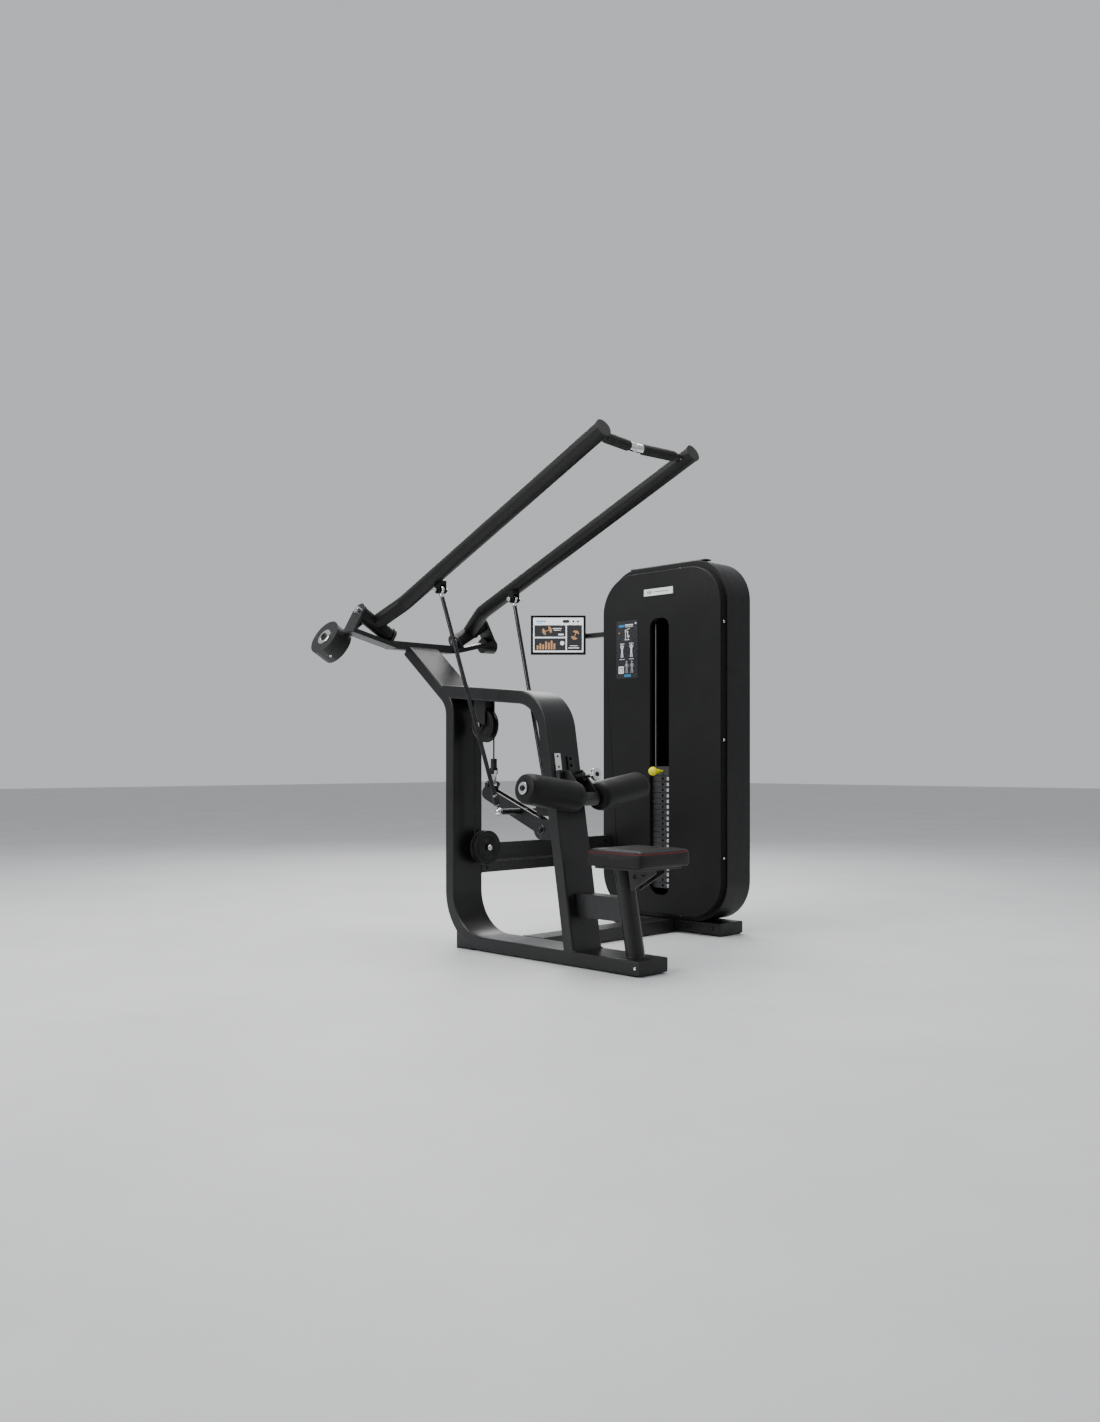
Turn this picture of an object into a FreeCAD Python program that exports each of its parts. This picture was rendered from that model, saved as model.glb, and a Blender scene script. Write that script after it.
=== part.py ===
import FreeCAD, Part
import math
import os

import Sketcher
from FreeCAD import Placement, Rotation, Vector

# Lat pulldown machine, millimetres. Origin: floor under the seat-end foot, in the user's mid-plane.
# +X runs from the rear post towards the seat, +Y towards the weight tower, +Z up.
# The user sits over the rail facing -X, so the left arm lies on the -Y side.

DRIVING = {
    "tube_wide": 150, "tube_thick": 50, "tube_corner": 7, "pad_high": 5,
    "rail_end": 77, "post_centre": 898, "low_bend": 190, "post_top": 953.4, "strut_bend": 102,
    "mast_bend": 142, "strut_back": 1170, "cap_thick": 3.5,
    "cross_wide": 100, "tower_near": 879, "tower_base_long": 584, "tower_mid": 600,
    "crossbar_high": 32, "crossbar_deep": 50, "crossbar_long": 326,
    "hub_rise": 1267, "hub_side": 246, "hub_back": 1152, "hub_tilt": 30,
    "hub_radius": 31, "hub_long": 150, "ear_gap": 160, "ear_thick": 12, "ear_wide": 70, "shaft_radius": 12,
    "arm_radius": 30, "arm_wall": 3, "arm_bend": 120, "arm_root_long": 160,
    "grip_radius": 18.5, "handle_radius": 12.5, "ferrule_radius": 15.5,
    "balance_radius": 74, "balance_long": 75,
    "rod_radius": 8, "ball_radius": 11, "running_gap": 0.05,
    "lever_thick": 8, "lever_root": 28, "lever_nose": 24, "lever_pin": 10,
    "pulley_radius": 67, "pulley_wide": 30, "groove_radius": 51.5, "cable_path_radius": 55,
    "small_pulley_radius": 45, "small_pulley_wide": 24, "small_groove_radius": 32.5,
    "small_path_radius": 36, "axle_radius": 8, "cable_radius": 3,
    "tower_wide": 660, "tower_low": 55, "tower_high": 1565, "tower_back": 1035, "tower_corner": 170,
    "panel_wide": 647, "panel_low": 76, "panel_high": 1535, "panel_front": 839, "panel_corner": 163,
    "slot_wide": 104, "slot_low": 155, "slot_high": 1335, "sheet_wall": 3,
    "plate_long": 280, "plate_deep": 136, "plate_pitch": 24, "plate_thick": 22.5, "plate_count": 20,
    "stack_low": 182, "head_plate": 40, "guide_radius": 11, "guide_side": 97, "stem_radius": 11,
    "seat_long": 252, "seat_wide": 266, "seat_thick": 61, "seat_top": 428, "seat_post_radius": 33,
    "roller_radius": 56.5, "roller_long": 255, "roller_bore": 12,
}

doc = FreeCAD.newDocument("lat_pulldown")
sheet = doc.addObject("Spreadsheet::Sheet", "Sheet")
for row, (alias, value) in enumerate(DRIVING.items(), start=1):
    sheet.set(f"A{row}", alias)
    sheet.set(f"B{row}", str(value))
    sheet.setAlias(f"B{row}", alias)
doc.recompute()

NODES = {}
X_AXIS = Vector(1, 0, 0)
Y_AXIS = Vector(0, 1, 0)
Z_AXIS = Vector(0, 0, 1)


def dim(alias):
    return float(sheet.get(alias))


def bind(obj, prop, value):
    """Set a size: text is an expression on the sheet, anything else is a number."""
    if isinstance(value, str):
        obj.setExpression(prop, value)
    else:
        setattr(obj, prop, value)


def at(x, y, z):
    return Placement(Vector(x, y, z), Rotation())


def facing(origin, x_dir, z_dir):
    """A frame with its X along x_dir and its Z as near z_dir as it can be."""
    return Placement(Vector(origin), Rotation(x_dir, Vector(), z_dir, "XZY"))


def pointing(origin, z_dir):
    return Placement(Vector(origin), Rotation(Z_AXIS, z_dir))


def node(name, obj):
    obj.Label = name
    NODES[name] = obj
    return obj


def box(name, long, deep, high, place):
    obj = doc.addObject("Part::Box", name)
    bind(obj, "Length", long)
    bind(obj, "Width", deep)
    bind(obj, "Height", high)
    obj.Placement = place
    return obj


def block(name, low, high):
    """A box between two opposite corners."""
    sizes = [b - a for a, b in zip(low, high)]
    return box(name, *sizes, at(*low))


def cylinder(name, radius, height, place):
    obj = doc.addObject("Part::Cylinder", name)
    bind(obj, "Radius", radius)
    bind(obj, "Height", height)
    obj.Placement = place
    return obj


def rod_between(name, radius, start, end):
    start, end = Vector(start), Vector(end)
    return cylinder(name, radius, (end - start).Length, pointing(start, end - start))


def ball(name, radius, centre):
    obj = doc.addObject("Part::Sphere", name)
    bind(obj, "Radius", radius)
    obj.Placement = at(*centre)
    return obj


def fuse(name, shapes):
    obj = doc.addObject("Part::MultiFuse", name)
    obj.Shapes = shapes
    return obj


def cut(name, base, tool):
    obj = doc.addObject("Part::Cut", name)
    obj.Base = base
    obj.Tool = tool
    return obj


def group(name, shapes):
    """Identical or loose pieces kept as separate solids of one node."""
    obj = doc.addObject("Part::Compound", name)
    obj.Links = shapes
    return obj


def mirrored(name, source):
    obj = doc.addObject("Part::Mirroring", name)
    obj.Source = source
    obj.Normal = Y_AXIS
    obj.Base = Vector(0, 0, 0)
    return obj


def rounded_outline(corners):
    """Lines and arcs of a closed outline from (x, y, corner radius)."""
    points = [Vector(x, y, 0) for x, y, _ in corners]
    ends = []
    for i, (_, _, radius) in enumerate(corners):
        here = points[i]
        before = (points[i - 1] - here).normalize()
        after = (points[(i + 1) % len(points)] - here).normalize()
        if radius == 0:
            ends.append((here, None, here))
            continue
        half = before.getAngle(after) / 2
        reach = radius / math.tan(half)
        centre = here + (before + after).normalize() * (radius / math.sin(half))
        middle = centre + (here - centre).normalize() * radius
        ends.append((here + before * reach, middle, here + after * reach))
    edges = []
    for i, (first, middle, last) in enumerate(ends):
        if middle is not None:
            edges.append(Part.Arc(first, middle, last))
        following = ends[(i + 1) % len(ends)][0]
        if (following - last).Length > 1e-6:
            edges.append(Part.LineSegment(last, following))
    return edges


def new_sketch(body, role, edges):
    sketch = body.newObject("Sketcher::SketchObject", f"{body.Name}_sketch")
    plane = next(f for f in body.Origin.OriginFeatures if f.Role == role)
    sketch.AttachmentSupport = (plane, "")
    sketch.MapMode = "FlatFace"
    for edge in edges:
        index = sketch.addGeometry(edge, False)
        sketch.addConstraint(Sketcher.Constraint("Block", index))
    return sketch


def padded_body(name, role, edges, length, place, back=False):
    body = doc.addObject("PartDesign::Body", name)
    sketch = new_sketch(body, role, edges)
    pad = body.newObject("PartDesign::Pad", f"{name}_pad")
    pad.Profile = sketch
    bind(pad, "Length", length)
    pad.Reversed = back
    body.Placement = place
    return body


def plate_xz(name, corners, thickness, y_low, x=0, z=0):
    """A plate whose outline is drawn in X and Z, and which is thickness deep in +Y from y_low."""
    return padded_body(name, "XZ_Plane", rounded_outline(corners), thickness, at(x, y_low, z), back=True)


def turned_body(name, outline, place):
    """A turned piece: outline gives (radius, height) about the local Z axis."""
    body = doc.addObject("PartDesign::Body", name)
    edges = rounded_outline([(r, z, 0) for r, z in outline])
    sketch = new_sketch(body, "XZ_Plane", edges)
    spin = body.newObject("PartDesign::Revolution", f"{name}_turn")
    spin.Profile = sketch
    spin.ReferenceAxis = (sketch, ["V_Axis"])
    spin.Angle = 360
    body.Placement = place
    return body


def piped_body(name, path_corners, profile, place):
    """A tube drawn along a flat path in local XZ that starts at the origin along +X."""
    body = doc.addObject("PartDesign::Body", name)
    points = [Vector(x, z, 0) for x, z, _ in path_corners]
    edges = []
    start = points[0]
    for i in range(1, len(points) - 1):
        radius = path_corners[i][2]
        before = (points[i - 1] - points[i]).normalize()
        after = (points[i + 1] - points[i]).normalize()
        half = before.getAngle(after) / 2
        reach = radius / math.tan(half)
        centre = points[i] + (before + after).normalize() * (radius / math.sin(half))
        middle = centre + (points[i] - centre).normalize() * radius
        edges.append(Part.LineSegment(start, points[i] + before * reach))
        edges.append(Part.Arc(points[i] + before * reach, middle, points[i] + after * reach))
        start = points[i] + after * reach
    edges.append(Part.LineSegment(start, points[-1]))
    path = new_sketch(body, "XZ_Plane", edges)
    section = new_sketch(body, "YZ_Plane", profile)
    pipe = body.newObject("PartDesign::AdditivePipe", f"{name}_pipe")
    pipe.Profile = section
    pipe.Spine = (path, [f"Edge{i + 1}" for i in range(len(edges))])
    body.Placement = place
    return body


def rectangle(wide, high, corner, x=0, y=0):
    a, b = wide / 2, high / 2
    return [(x - a, y - b, corner), (x + a, y - b, corner), (x + a, y + b, corner), (x - a, y + b, corner)]


def ring(outer, inner):
    return [Part.Circle(Vector(), Z_AXIS, outer), Part.Circle(Vector(), Z_AXIS, inner)]


def link_outline(length, root, nose):
    """A link along +X: round ends of two radii joined by their outer tangents."""
    tilt = math.asin((root - nose) / length)
    top_root = Vector(root * math.sin(tilt), root * math.cos(tilt), 0)
    top_nose = Vector(length + nose * math.sin(tilt), nose * math.cos(tilt), 0)
    low_root = Vector(top_root.x, -top_root.y, 0)
    low_nose = Vector(top_nose.x, -top_nose.y, 0)
    return [
        Part.Arc(top_root, Vector(-root, 0, 0), low_root),
        Part.LineSegment(low_root, low_nose),
        Part.Arc(low_nose, Vector(length + nose, 0, 0), top_nose),
        Part.LineSegment(top_nose, top_root),
    ]


def link_plate(name, start, end, root, nose, thickness, y_low):
    """A round-ended plate in an XZ plane from start to end, each given as (x, z)."""
    start = Vector(start[0], y_low, start[1])
    end = Vector(end[0], y_low, end[1])
    place = facing(start, (end - start).normalize(), (end - start).cross(Y_AXIS).normalize())
    outline = link_outline((end - start).Length, root, nose)
    # the local XY plane is XZ in the machine; its normal is made to face +Y or -Y by the placement
    body = padded_body(name, "XZ_Plane", outline, thickness, place, back=True)
    return body


# ---------------------------------------------------------------- frame tubes

WIDE, THICK = dim("tube_wide"), dim("tube_thick")
TUBE_SECTION = rounded_outline(rectangle(WIDE, THICK, dim("tube_corner")))
RAIL_MID = dim("pad_high") + THICK / 2
RAIL_TOP = dim("pad_high") + THICK
POST_X = -dim("post_centre")
POST_FRONT = POST_X + THICK / 2
STRUT_SLOPE = math.radians(39.2)
BEAM_SLOPE = math.radians(4.93)
MAST_LEAN = math.radians(9.34)


def build_base_tube():
    """Floor rail, rear bend, rear post and the strut that leans back from its top, one bent tube."""
    rail_end = dim("rail_end")
    reach = rail_end - POST_X
    strut_run = dim("strut_back") + POST_X
    strut_end_high = dim("post_top") - RAIL_MID + strut_run * math.tan(STRUT_SLOPE)
    corners = [
        (0, 0, 0),
        (reach, 0, dim("low_bend")),
        (reach, dim("post_top") - RAIL_MID, dim("strut_bend")),
        (reach + strut_run, strut_end_high, 0),
    ]
    place = facing((rail_end, 0, RAIL_MID), Vector(-1, 0, 0), Z_AXIS)
    return piped_body("bent_rail", corners, TUBE_SECTION, place)


BEAM_START = Vector(-945, 0, 999)
MAST_CORNER = Vector(-396.6, 0, 951.6)
MAST_FOOT = Vector(-246.7, 0, 40)


def build_mast_tube():
    """Top beam, front bend and the sloped mast that stands on the rail, one bent tube."""
    beam = MAST_CORNER - BEAM_START
    x_dir = Vector(beam).normalize()
    foot = MAST_FOOT - BEAM_START
    z_dir = x_dir.cross(Vector(0, 1, 0)).normalize()
    corners = [
        (0, 0, 0),
        (beam.Length, 0, dim("mast_bend")),
        (foot.dot(x_dir), foot.dot(z_dir), 0),
    ]
    return piped_body("bent_mast", corners, TUBE_SECTION, facing(BEAM_START, x_dir, z_dir))


CROSSBAR_X = -1195
CROSSBAR_LOW = 1175
crossbar = box(
    "crossbar", "Sheet.crossbar_deep", "Sheet.crossbar_long", "Sheet.crossbar_high",
    at(CROSSBAR_X, -dim("crossbar_long") / 2, CROSSBAR_LOW))
node("crossbar", crossbar)
base_tube = node("base_tube", cut("base_tube", build_base_tube(), crossbar))
mast_tube = node("mast_tube", cut("mast_tube", build_mast_tube(), base_tube))

FILLER = [(-863, 5, 0), (-722, 5, 0), (-722, 20, 0), (-863, 80, 0)]
foot_filler = plate_xz("foot_filler", FILLER, WIDE - 16, -WIDE / 2 + 8)
node("rear_foot", cut("rear_foot", foot_filler, base_tube))

CROSS_LOW_X = -636
TOWER_X = -dim("tower_mid")
TOWER_NEAR = dim("tower_near")
cross_base = box(
    "cross_base", "Sheet.cross_wide", "Sheet.tower_near - Sheet.tube_wide / 2", "Sheet.tube_thick",
    at(CROSS_LOW_X, WIDE / 2, dim("pad_high")))
node("cross_base", cross_base)
BASE_LOW_X = TOWER_X - dim("tower_base_long") / 2
BASE_HIGH_X = TOWER_X + dim("tower_base_long") / 2
tower_base = padded_body(
    "tower_base", "YZ_Plane", rounded_outline(rectangle(WIDE, THICK, dim("tube_corner"))),
    "Sheet.tower_base_long", at(BASE_LOW_X, TOWER_NEAR + WIDE / 2, RAIL_MID))
node("tower_base", tower_base)

CAP_SECTION = rounded_outline(rectangle(WIDE, THICK, dim("tube_corner")))
cap_places = [
    at(dim("rail_end"), 0, RAIL_MID),
    at(BASE_HIGH_X, TOWER_NEAR + WIDE / 2, RAIL_MID),
    at(BASE_LOW_X - dim("cap_thick"), TOWER_NEAR + WIDE / 2, RAIL_MID),
]
node("tube_end_caps", group("tube_end_caps", [
    padded_body(f"end_cap_{i}", "YZ_Plane", CAP_SECTION, "Sheet.cap_thick", place)
    for i, place in enumerate(cap_places)]))

PAD_BOXES = [(-60, -70, 120, 140), (-860, -70, 100, 140), (-888, 884, 100, 140), (-412, 884, 100, 140)]
node("foot_pads", group("foot_pads", [
    box(f"foot_pad_{i}", long, deep, "Sheet.pad_high", at(x, y, 0))
    for i, (x, y, long, deep) in enumerate(PAD_BOXES)]))

PANEL_FRONT = dim("panel_front")
node("link_beam", block("link_beam", (-923, WIDE / 2, 281), (-877, PANEL_FRONT, 398)))

# ---------------------------------------------------------------- seat

POST_LEAN = math.radians(10.35)
SEAT_POST_DIR = Vector(-math.sin(POST_LEAN), 0, math.cos(POST_LEAN))
SEAT_POST_FOOT = Vector(1, 0, RAIL_TOP)
SEAT_LOW = dim("seat_top") - dim("seat_thick")
SEAT_X = 14
BRACKET_LOW = SEAT_LOW - 8

post_blank = cylinder(
    "seat_post_blank", "Sheet.seat_post_radius", 360, pointing(SEAT_POST_FOOT - SEAT_POST_DIR * 15, SEAT_POST_DIR))
post_room = block("seat_post_room", (-200, -60, RAIL_TOP), (100, 60, BRACKET_LOW))
seat_post = doc.addObject("Part::Common", "seat_post")
seat_post.Base = post_blank
seat_post.Tool = post_room
node("seat_post", seat_post)

link_blank = block("seat_link_blank", (-275, -30, 172), (-25, 30, 255))
link_trim = cut("seat_link_trim", link_blank, mast_tube)
node("seat_link", cut("seat_link", link_trim, seat_post))

seat_plate = block("seat_plate", (-92, -105, BRACKET_LOW), (118, 105, SEAT_LOW))
GUSSET = [(-22, 0, 0), (102, 0, 0), (102, -12, 0), (-8, -78, 0)]
gusset_holes = [(12, -26, 9), (50, -17, 8)]
gussets = []
for side in (-26, 20):
    gusset = plate_xz(f"gusset_{side + 30}", GUSSET, 6, side, x=10, z=BRACKET_LOW)
    for i, (x, z, radius) in enumerate(gusset_holes):
        drill = cylinder(f"gusset_drill_{side + 30}_{i}", radius, 20,
                         Placement(Vector(10 + x, side + 13, BRACKET_LOW + z), Rotation(X_AXIS, 90)))
        gusset = cut(f"gusset_cut_{side + 30}_{i}", gusset, drill)
    gussets.append(gusset)
bracket_solid = fuse("seat_bracket_solid", [seat_plate] + gussets)
node("seat_bracket", cut("seat_bracket", bracket_solid, seat_post))

cushion = padded_body(
    "seat_cushion", "XY_Plane",
    rounded_outline(rectangle(dim("seat_long"), dim("seat_wide"), 18)),
    "Sheet.seat_thick", at(SEAT_X, 0, SEAT_LOW))
doc.recompute()
soft_edge = cushion.newObject("PartDesign::Fillet", "seat_soft_edge")
top_face = max(range(len(cushion.Shape.Faces)), key=lambda i: cushion.Shape.Faces[i].CenterOfMass.z)
soft_edge.Base = (cushion.Group[1], [f"Face{top_face + 1}"])
soft_edge.Radius = 12
node("seat_cushion", cushion)

# ---------------------------------------------------------------- pivots of the arms

TILT = math.radians(dim("hub_tilt"))
HUB = Vector(-dim("hub_back"), -dim("hub_side"), dim("hub_rise"))
HUB_AXIS = Vector(0, math.cos(TILT), -math.sin(TILT))
HUB_UP = Vector(0, math.sin(TILT), math.cos(TILT))


def hub_point(forward, up, along):
    """A point of the left hub's own frame: forward is +X, up is across the axis, along is inboard."""
    return HUB + X_AXIS * forward + HUB_UP * up + HUB_AXIS * along


HUB_FRAME = facing(HUB, X_AXIS, HUB_AXIS)
EAR_GAP, EAR_THICK, EAR_WIDE = dim("ear_gap"), dim("ear_thick"), dim("ear_wide")


def ear(name, along, low):
    """One ear of the yoke, square to the shaft: a strip with a round top over the shaft."""
    half = EAR_WIDE / 2
    strip = box(f"{name}_strip", "Sheet.ear_wide", -low, "Sheet.ear_thick",
                facing(hub_point(-half, 0, along), X_AXIS, HUB_AXIS))
    crown = cylinder(f"{name}_crown", "Sheet.ear_wide / 2", "Sheet.ear_thick",
                     facing(hub_point(0, 0, along), X_AXIS, HUB_AXIS))
    return [strip, crown]


YOKE_FLOOR = -98
FLOOR_THICK = 18
yoke_parts = ear("outer_ear", -EAR_GAP / 2 - EAR_THICK, YOKE_FLOOR)
yoke_parts += ear("inner_ear", EAR_GAP / 2, -44)
floor_start = hub_point(0, YOKE_FLOOR + 6, -EAR_GAP / 2 - EAR_THICK + 1)
floor_end = Vector(HUB.x, -dim("crossbar_long") / 2 + 1, CROSSBAR_LOW + FLOOR_THICK / 2)
floor_run = floor_end - floor_start
floor_dir = Vector(floor_run).normalize()
floor_up = X_AXIS.cross(floor_dir).normalize()
floor_bar = box("yoke_floor", floor_run.Length, "Sheet.ear_wide", FLOOR_THICK,
                facing(floor_start + X_AXIS * (EAR_WIDE / 2) - floor_up * (FLOOR_THICK / 2), floor_dir, floor_up))
yoke_solid = fuse("left_yoke_solid", yoke_parts + [floor_bar])
yoke_bore = cylinder("left_yoke_bore", "Sheet.shaft_radius", 260, facing(hub_point(0, 0, -130), X_AXIS, HUB_AXIS))
yoke_drilled = cut("left_yoke_drilled", yoke_solid, yoke_bore)
left_yoke = node("left_yoke", cut("left_yoke", yoke_drilled, crossbar))
node("right_yoke", mirrored("right_yoke", left_yoke))

shaft = cylinder("left_shaft_rod", "Sheet.shaft_radius", 204, facing(hub_point(0, 0, -102), X_AXIS, HUB_AXIS))
shaft_nuts = [
    cylinder(f"left_shaft_nut_{i}", 15, 6, facing(hub_point(0, 0, along), X_AXIS, HUB_AXIS))
    for i, along in enumerate((-EAR_GAP / 2 - EAR_THICK - 6, EAR_GAP / 2 + EAR_THICK))]
left_shaft = fuse("left_shaft", [shaft] + shaft_nuts)
node("arm_shafts", group("arm_shafts", [left_shaft, mirrored("right_shaft", left_shaft)]))

# round closing boss on the outer lower corner of the right yoke
boss_turn = Rotation(X_AXIS, 90)
boss_barrel = cylinder("boss_barrel", 32, 60, Placement(Vector(-1172, -340, 1221), boss_turn))
boss_dome = cylinder("boss_dome", 15, 12, Placement(Vector(-1172, -400, 1221), boss_turn))
boss_form = cut("boss_form", fuse("boss_solid", [boss_barrel, boss_dome]), left_yoke)
node("right_yoke_boss", mirrored("right_yoke_boss", boss_form))

# ---------------------------------------------------------------- arms

ARM_RISE = math.radians(32)
ARM_DIR = X_AXIS * math.cos(ARM_RISE) + HUB_UP * math.sin(ARM_RISE)
ARM_BEND_AT = HUB + ARM_DIR * dim("arm_root_long")
ARM_TIP = Vector(59, -232, 1807)
MAIN_RUN = ARM_TIP - ARM_BEND_AT
MAIN_DIR = Vector(MAIN_RUN).normalize()
ROD_TOP = Vector(-813, -190, 1372)
ROD_LOW = Vector(-550, -130, 538)
SADDLE_LOW = ROD_TOP.z + 20
FORK_HALF = 14


def build_left_arm():
    """Hub tube, bent arm tube and the fork under it that carries the push rod, one weldment."""
    normal = (MAIN_DIR - ARM_DIR * MAIN_DIR.dot(ARM_DIR)).normalize()
    tip = ARM_TIP - HUB
    corners = [
        (0, 0, 0),
        (dim("arm_root_long"), 0, dim("arm_bend")),
        (tip.dot(ARM_DIR), tip.dot(normal), 0),
    ]
    section = ring(dim("arm_radius"), dim("arm_radius") - dim("arm_wall"))
    tube = piped_body("left_arm_tube", corners, section, facing(HUB, ARM_DIR, normal))
    hub = cylinder("left_arm_hub", "Sheet.hub_radius", "Sheet.hub_long",
                   facing(hub_point(0, 0, -dim("hub_long") / 2), X_AXIS, HUB_AXIS))
    parts = [tube, hub]
    parts.append(block("rod_fork_saddle", (ROD_TOP.x - FORK_HALF, ROD_TOP.y - 18, SADDLE_LOW),
                       (ROD_TOP.x + FORK_HALF, ROD_TOP.y + 18, SADDLE_LOW + 16)))
    for i, side in enumerate((-18, 13)):
        parts.append(block(f"rod_fork_{i}", (ROD_TOP.x - FORK_HALF, ROD_TOP.y + side, ROD_TOP.z),
                           (ROD_TOP.x + FORK_HALF, ROD_TOP.y + side + 5, SADDLE_LOW + 2)))
        parts.append(cylinder(f"rod_fork_round_{i}", FORK_HALF, 5,
                              Placement(ROD_TOP + Y_AXIS * (side + 5), Rotation(X_AXIS, 90))))
    parts.append(rod_between("rod_fork_pin", 5, ROD_TOP - Y_AXIS * 26, ROD_TOP + Y_AXIS * 26))
    parts.append(ball("rod_fork_ball", "Sheet.ball_radius", ROD_TOP))
    for i, side in enumerate((-26, 18)):
        parts.append(cylinder(f"rod_fork_nut_{i}", 9, 8,
                              Placement(ROD_TOP + Y_AXIS * (side + 8), Rotation(X_AXIS, 90))))
    balance_mid = hub_point(-131, -118.7, -52)
    lever_start = hub_point(-20, -18, -52)
    parts.append(rod_between("balance_stem", 17, lever_start, balance_mid))
    solid = fuse("left_arm_solid", parts)
    bore = cylinder("left_arm_bore", "Sheet.shaft_radius + Sheet.running_gap", 160,
                    facing(hub_point(0, 0, -80), X_AXIS, HUB_AXIS))
    return cut("left_arm_blank", solid, bore)


balance_start = hub_point(-131, -118.7, -52 - dim("balance_long") / 2 - 12)
balance = cylinder("balance_disc", "Sheet.balance_radius", "Sheet.balance_long",
                   facing(balance_start, X_AXIS, HUB_AXIS))
balance_hub = cylinder("balance_hub", 16, 5, facing(balance_start - HUB_AXIS * 5, X_AXIS, HUB_AXIS))
left_balance = node("left_balance_weight", fuse("left_balance_weight", [balance, balance_hub]))
left_arm = node("left_arm", cut("left_arm", build_left_arm(), left_balance))


def right_arm_shape():
    """The right arm is the left one in mirror, without the stem of the balance weight."""
    clear = rod_between("right_stem_clear", 40, hub_point(-34, -30.8, -52), hub_point(-160, -145, -52))
    return mirrored("right_arm", cut("right_arm_form", left_arm, clear))


node("right_arm", right_arm_shape())

cap = rod_between("arm_cap_form", "Sheet.arm_radius + 1", ARM_TIP, ARM_TIP + MAIN_DIR * 8)
node("left_arm_cap", cap)
node("right_arm_cap", mirrored("right_arm_cap", cap))

HANDLE_START = Vector(32, -232, 1795)
HANDLE_END = Vector(-8, -6, 1800)
HANDLE_DIR = (HANDLE_END - HANDLE_START).normalize()
handle_bar = rod_between("handle_bar", "Sheet.handle_radius", HANDLE_START, HANDLE_END - HANDLE_DIR * 30)
handle_end = rod_between("handle_ferrule", "Sheet.ferrule_radius", HANDLE_END - HANDLE_DIR * 30, HANDLE_END)
handle_solid = fuse("handle_solid", [handle_bar, handle_end])
handle_cope = rod_between("handle_cope", "Sheet.arm_radius", ARM_TIP - MAIN_DIR * 120, ARM_TIP)
left_handle = node("left_handle", cut("left_handle", handle_solid, handle_cope))
node("right_handle", mirrored("right_handle", left_handle))
grip_blank = rod_between("grip_blank", "Sheet.grip_radius", HANDLE_START + HANDLE_DIR * 60,
                         HANDLE_END - HANDLE_DIR * 31)
left_grip = node("left_grip", cut("left_grip", grip_blank, handle_bar))
node("right_grip", mirrored("right_grip", left_grip))

# ---------------------------------------------------------------- push rods

ROD_DIR = (ROD_LOW - ROD_TOP).normalize()


def build_left_rod():
    """Push rod with a ball end at the arm and a cup that ends just short of the lever's ball."""
    eye = Placement(ROD_TOP + Y_AXIS * 7, Rotation(X_AXIS, 90))
    parts = [
        cylinder("rod_ball_end", 17, 14, eye),
        rod_between("rod_bar", "Sheet.rod_radius", ROD_TOP + ROD_DIR * 13, ROD_LOW - ROD_DIR * 30),
        rod_between("rod_low_cup", 12, ROD_LOW - ROD_DIR * 55, ROD_LOW - ROD_DIR * 26),
    ]
    solid = fuse("left_rod_solid", parts)
    socket = ball("rod_socket", "Sheet.ball_radius + Sheet.running_gap", ROD_TOP)
    return cut("left_rod", solid, socket)


left_rod = node("left_push_rod", build_left_rod())
node("right_push_rod", mirrored("right_push_rod", left_rod))

# ---------------------------------------------------------------- lever that pulls the cable

LEVER_PIVOT = Vector(-425, 0, 475)
LEVER_NOSE = Vector(-742, 0, 602)
CABLE_PIN = Vector(-730, 0, 636)
LEVER_SIDE = dim("lever_thick")


def across(name, radius, centre, half_low, half_high):
    """A cylinder along Y between two values of Y."""
    place = Placement(Vector(centre.x, half_high, centre.z), Rotation(X_AXIS, 90))
    return cylinder(name, radius, half_high - half_low, place)


def build_lever():
    parts = []
    for i, y_low in enumerate((-22, 22 - LEVER_SIDE)):
        flat = (LEVER_PIVOT.x, LEVER_PIVOT.z), (LEVER_NOSE.x, LEVER_NOSE.z)
        parts.append(link_plate(f"lever_plate_{i}", *flat, dim("lever_root"), dim("lever_nose"), LEVER_SIDE, y_low))
        horn = (LEVER_NOSE.x, LEVER_NOSE.z), (CABLE_PIN.x, CABLE_PIN.z)
        parts.append(link_plate(f"lever_horn_{i}", *horn, 20, 14, LEVER_SIDE, y_low))
    parts.append(across("lever_hub", 18, LEVER_PIVOT, -22, 22))
    parts.append(across("lever_side_bar", 11, ROD_LOW, -120, 120))
    for i, side in enumerate((-1, 1)):
        parts.append(ball(f"lever_ball_{i}", 15, (ROD_LOW.x, side * abs(ROD_LOW.y), ROD_LOW.z)))
    parts.append(across("lever_spacer", 9, Vector(-690, 0, 570), -22, 22))
    for i, y_low in enumerate((-32, 14)):
        parts.append(across(f"cable_pin_{i}", 6, CABLE_PIN, y_low, y_low + 18))
    for i, y_low in enumerate((-32, 24)):
        parts.append(across(f"cable_pin_nut_{i}", 9, CABLE_PIN, y_low, y_low + 8))
    solid = fuse("lever_solid", parts)
    bore = across("lever_bore", "Sheet.lever_pin + Sheet.running_gap", LEVER_PIVOT, -40, 40)
    return cut("lever", solid, bore)


node("lever", build_lever())


def build_shackle():
    """Link from between the lever's two pin stubs up to the cable socket."""
    link = link_plate("shackle_link", (CABLE_PIN.x, CABLE_PIN.z), (SOCKET_PIN.x, SOCKET_PIN.z), 13, 10, 14, -7)
    solid = fuse("shackle_solid", [link, across("shackle_eye", 13, CABLE_PIN, -11, 11)])
    bore = across("shackle_high_bore", "4 + Sheet.running_gap", SOCKET_PIN, -20, 20)
    return cut("cable_shackle", solid, bore)


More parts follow.
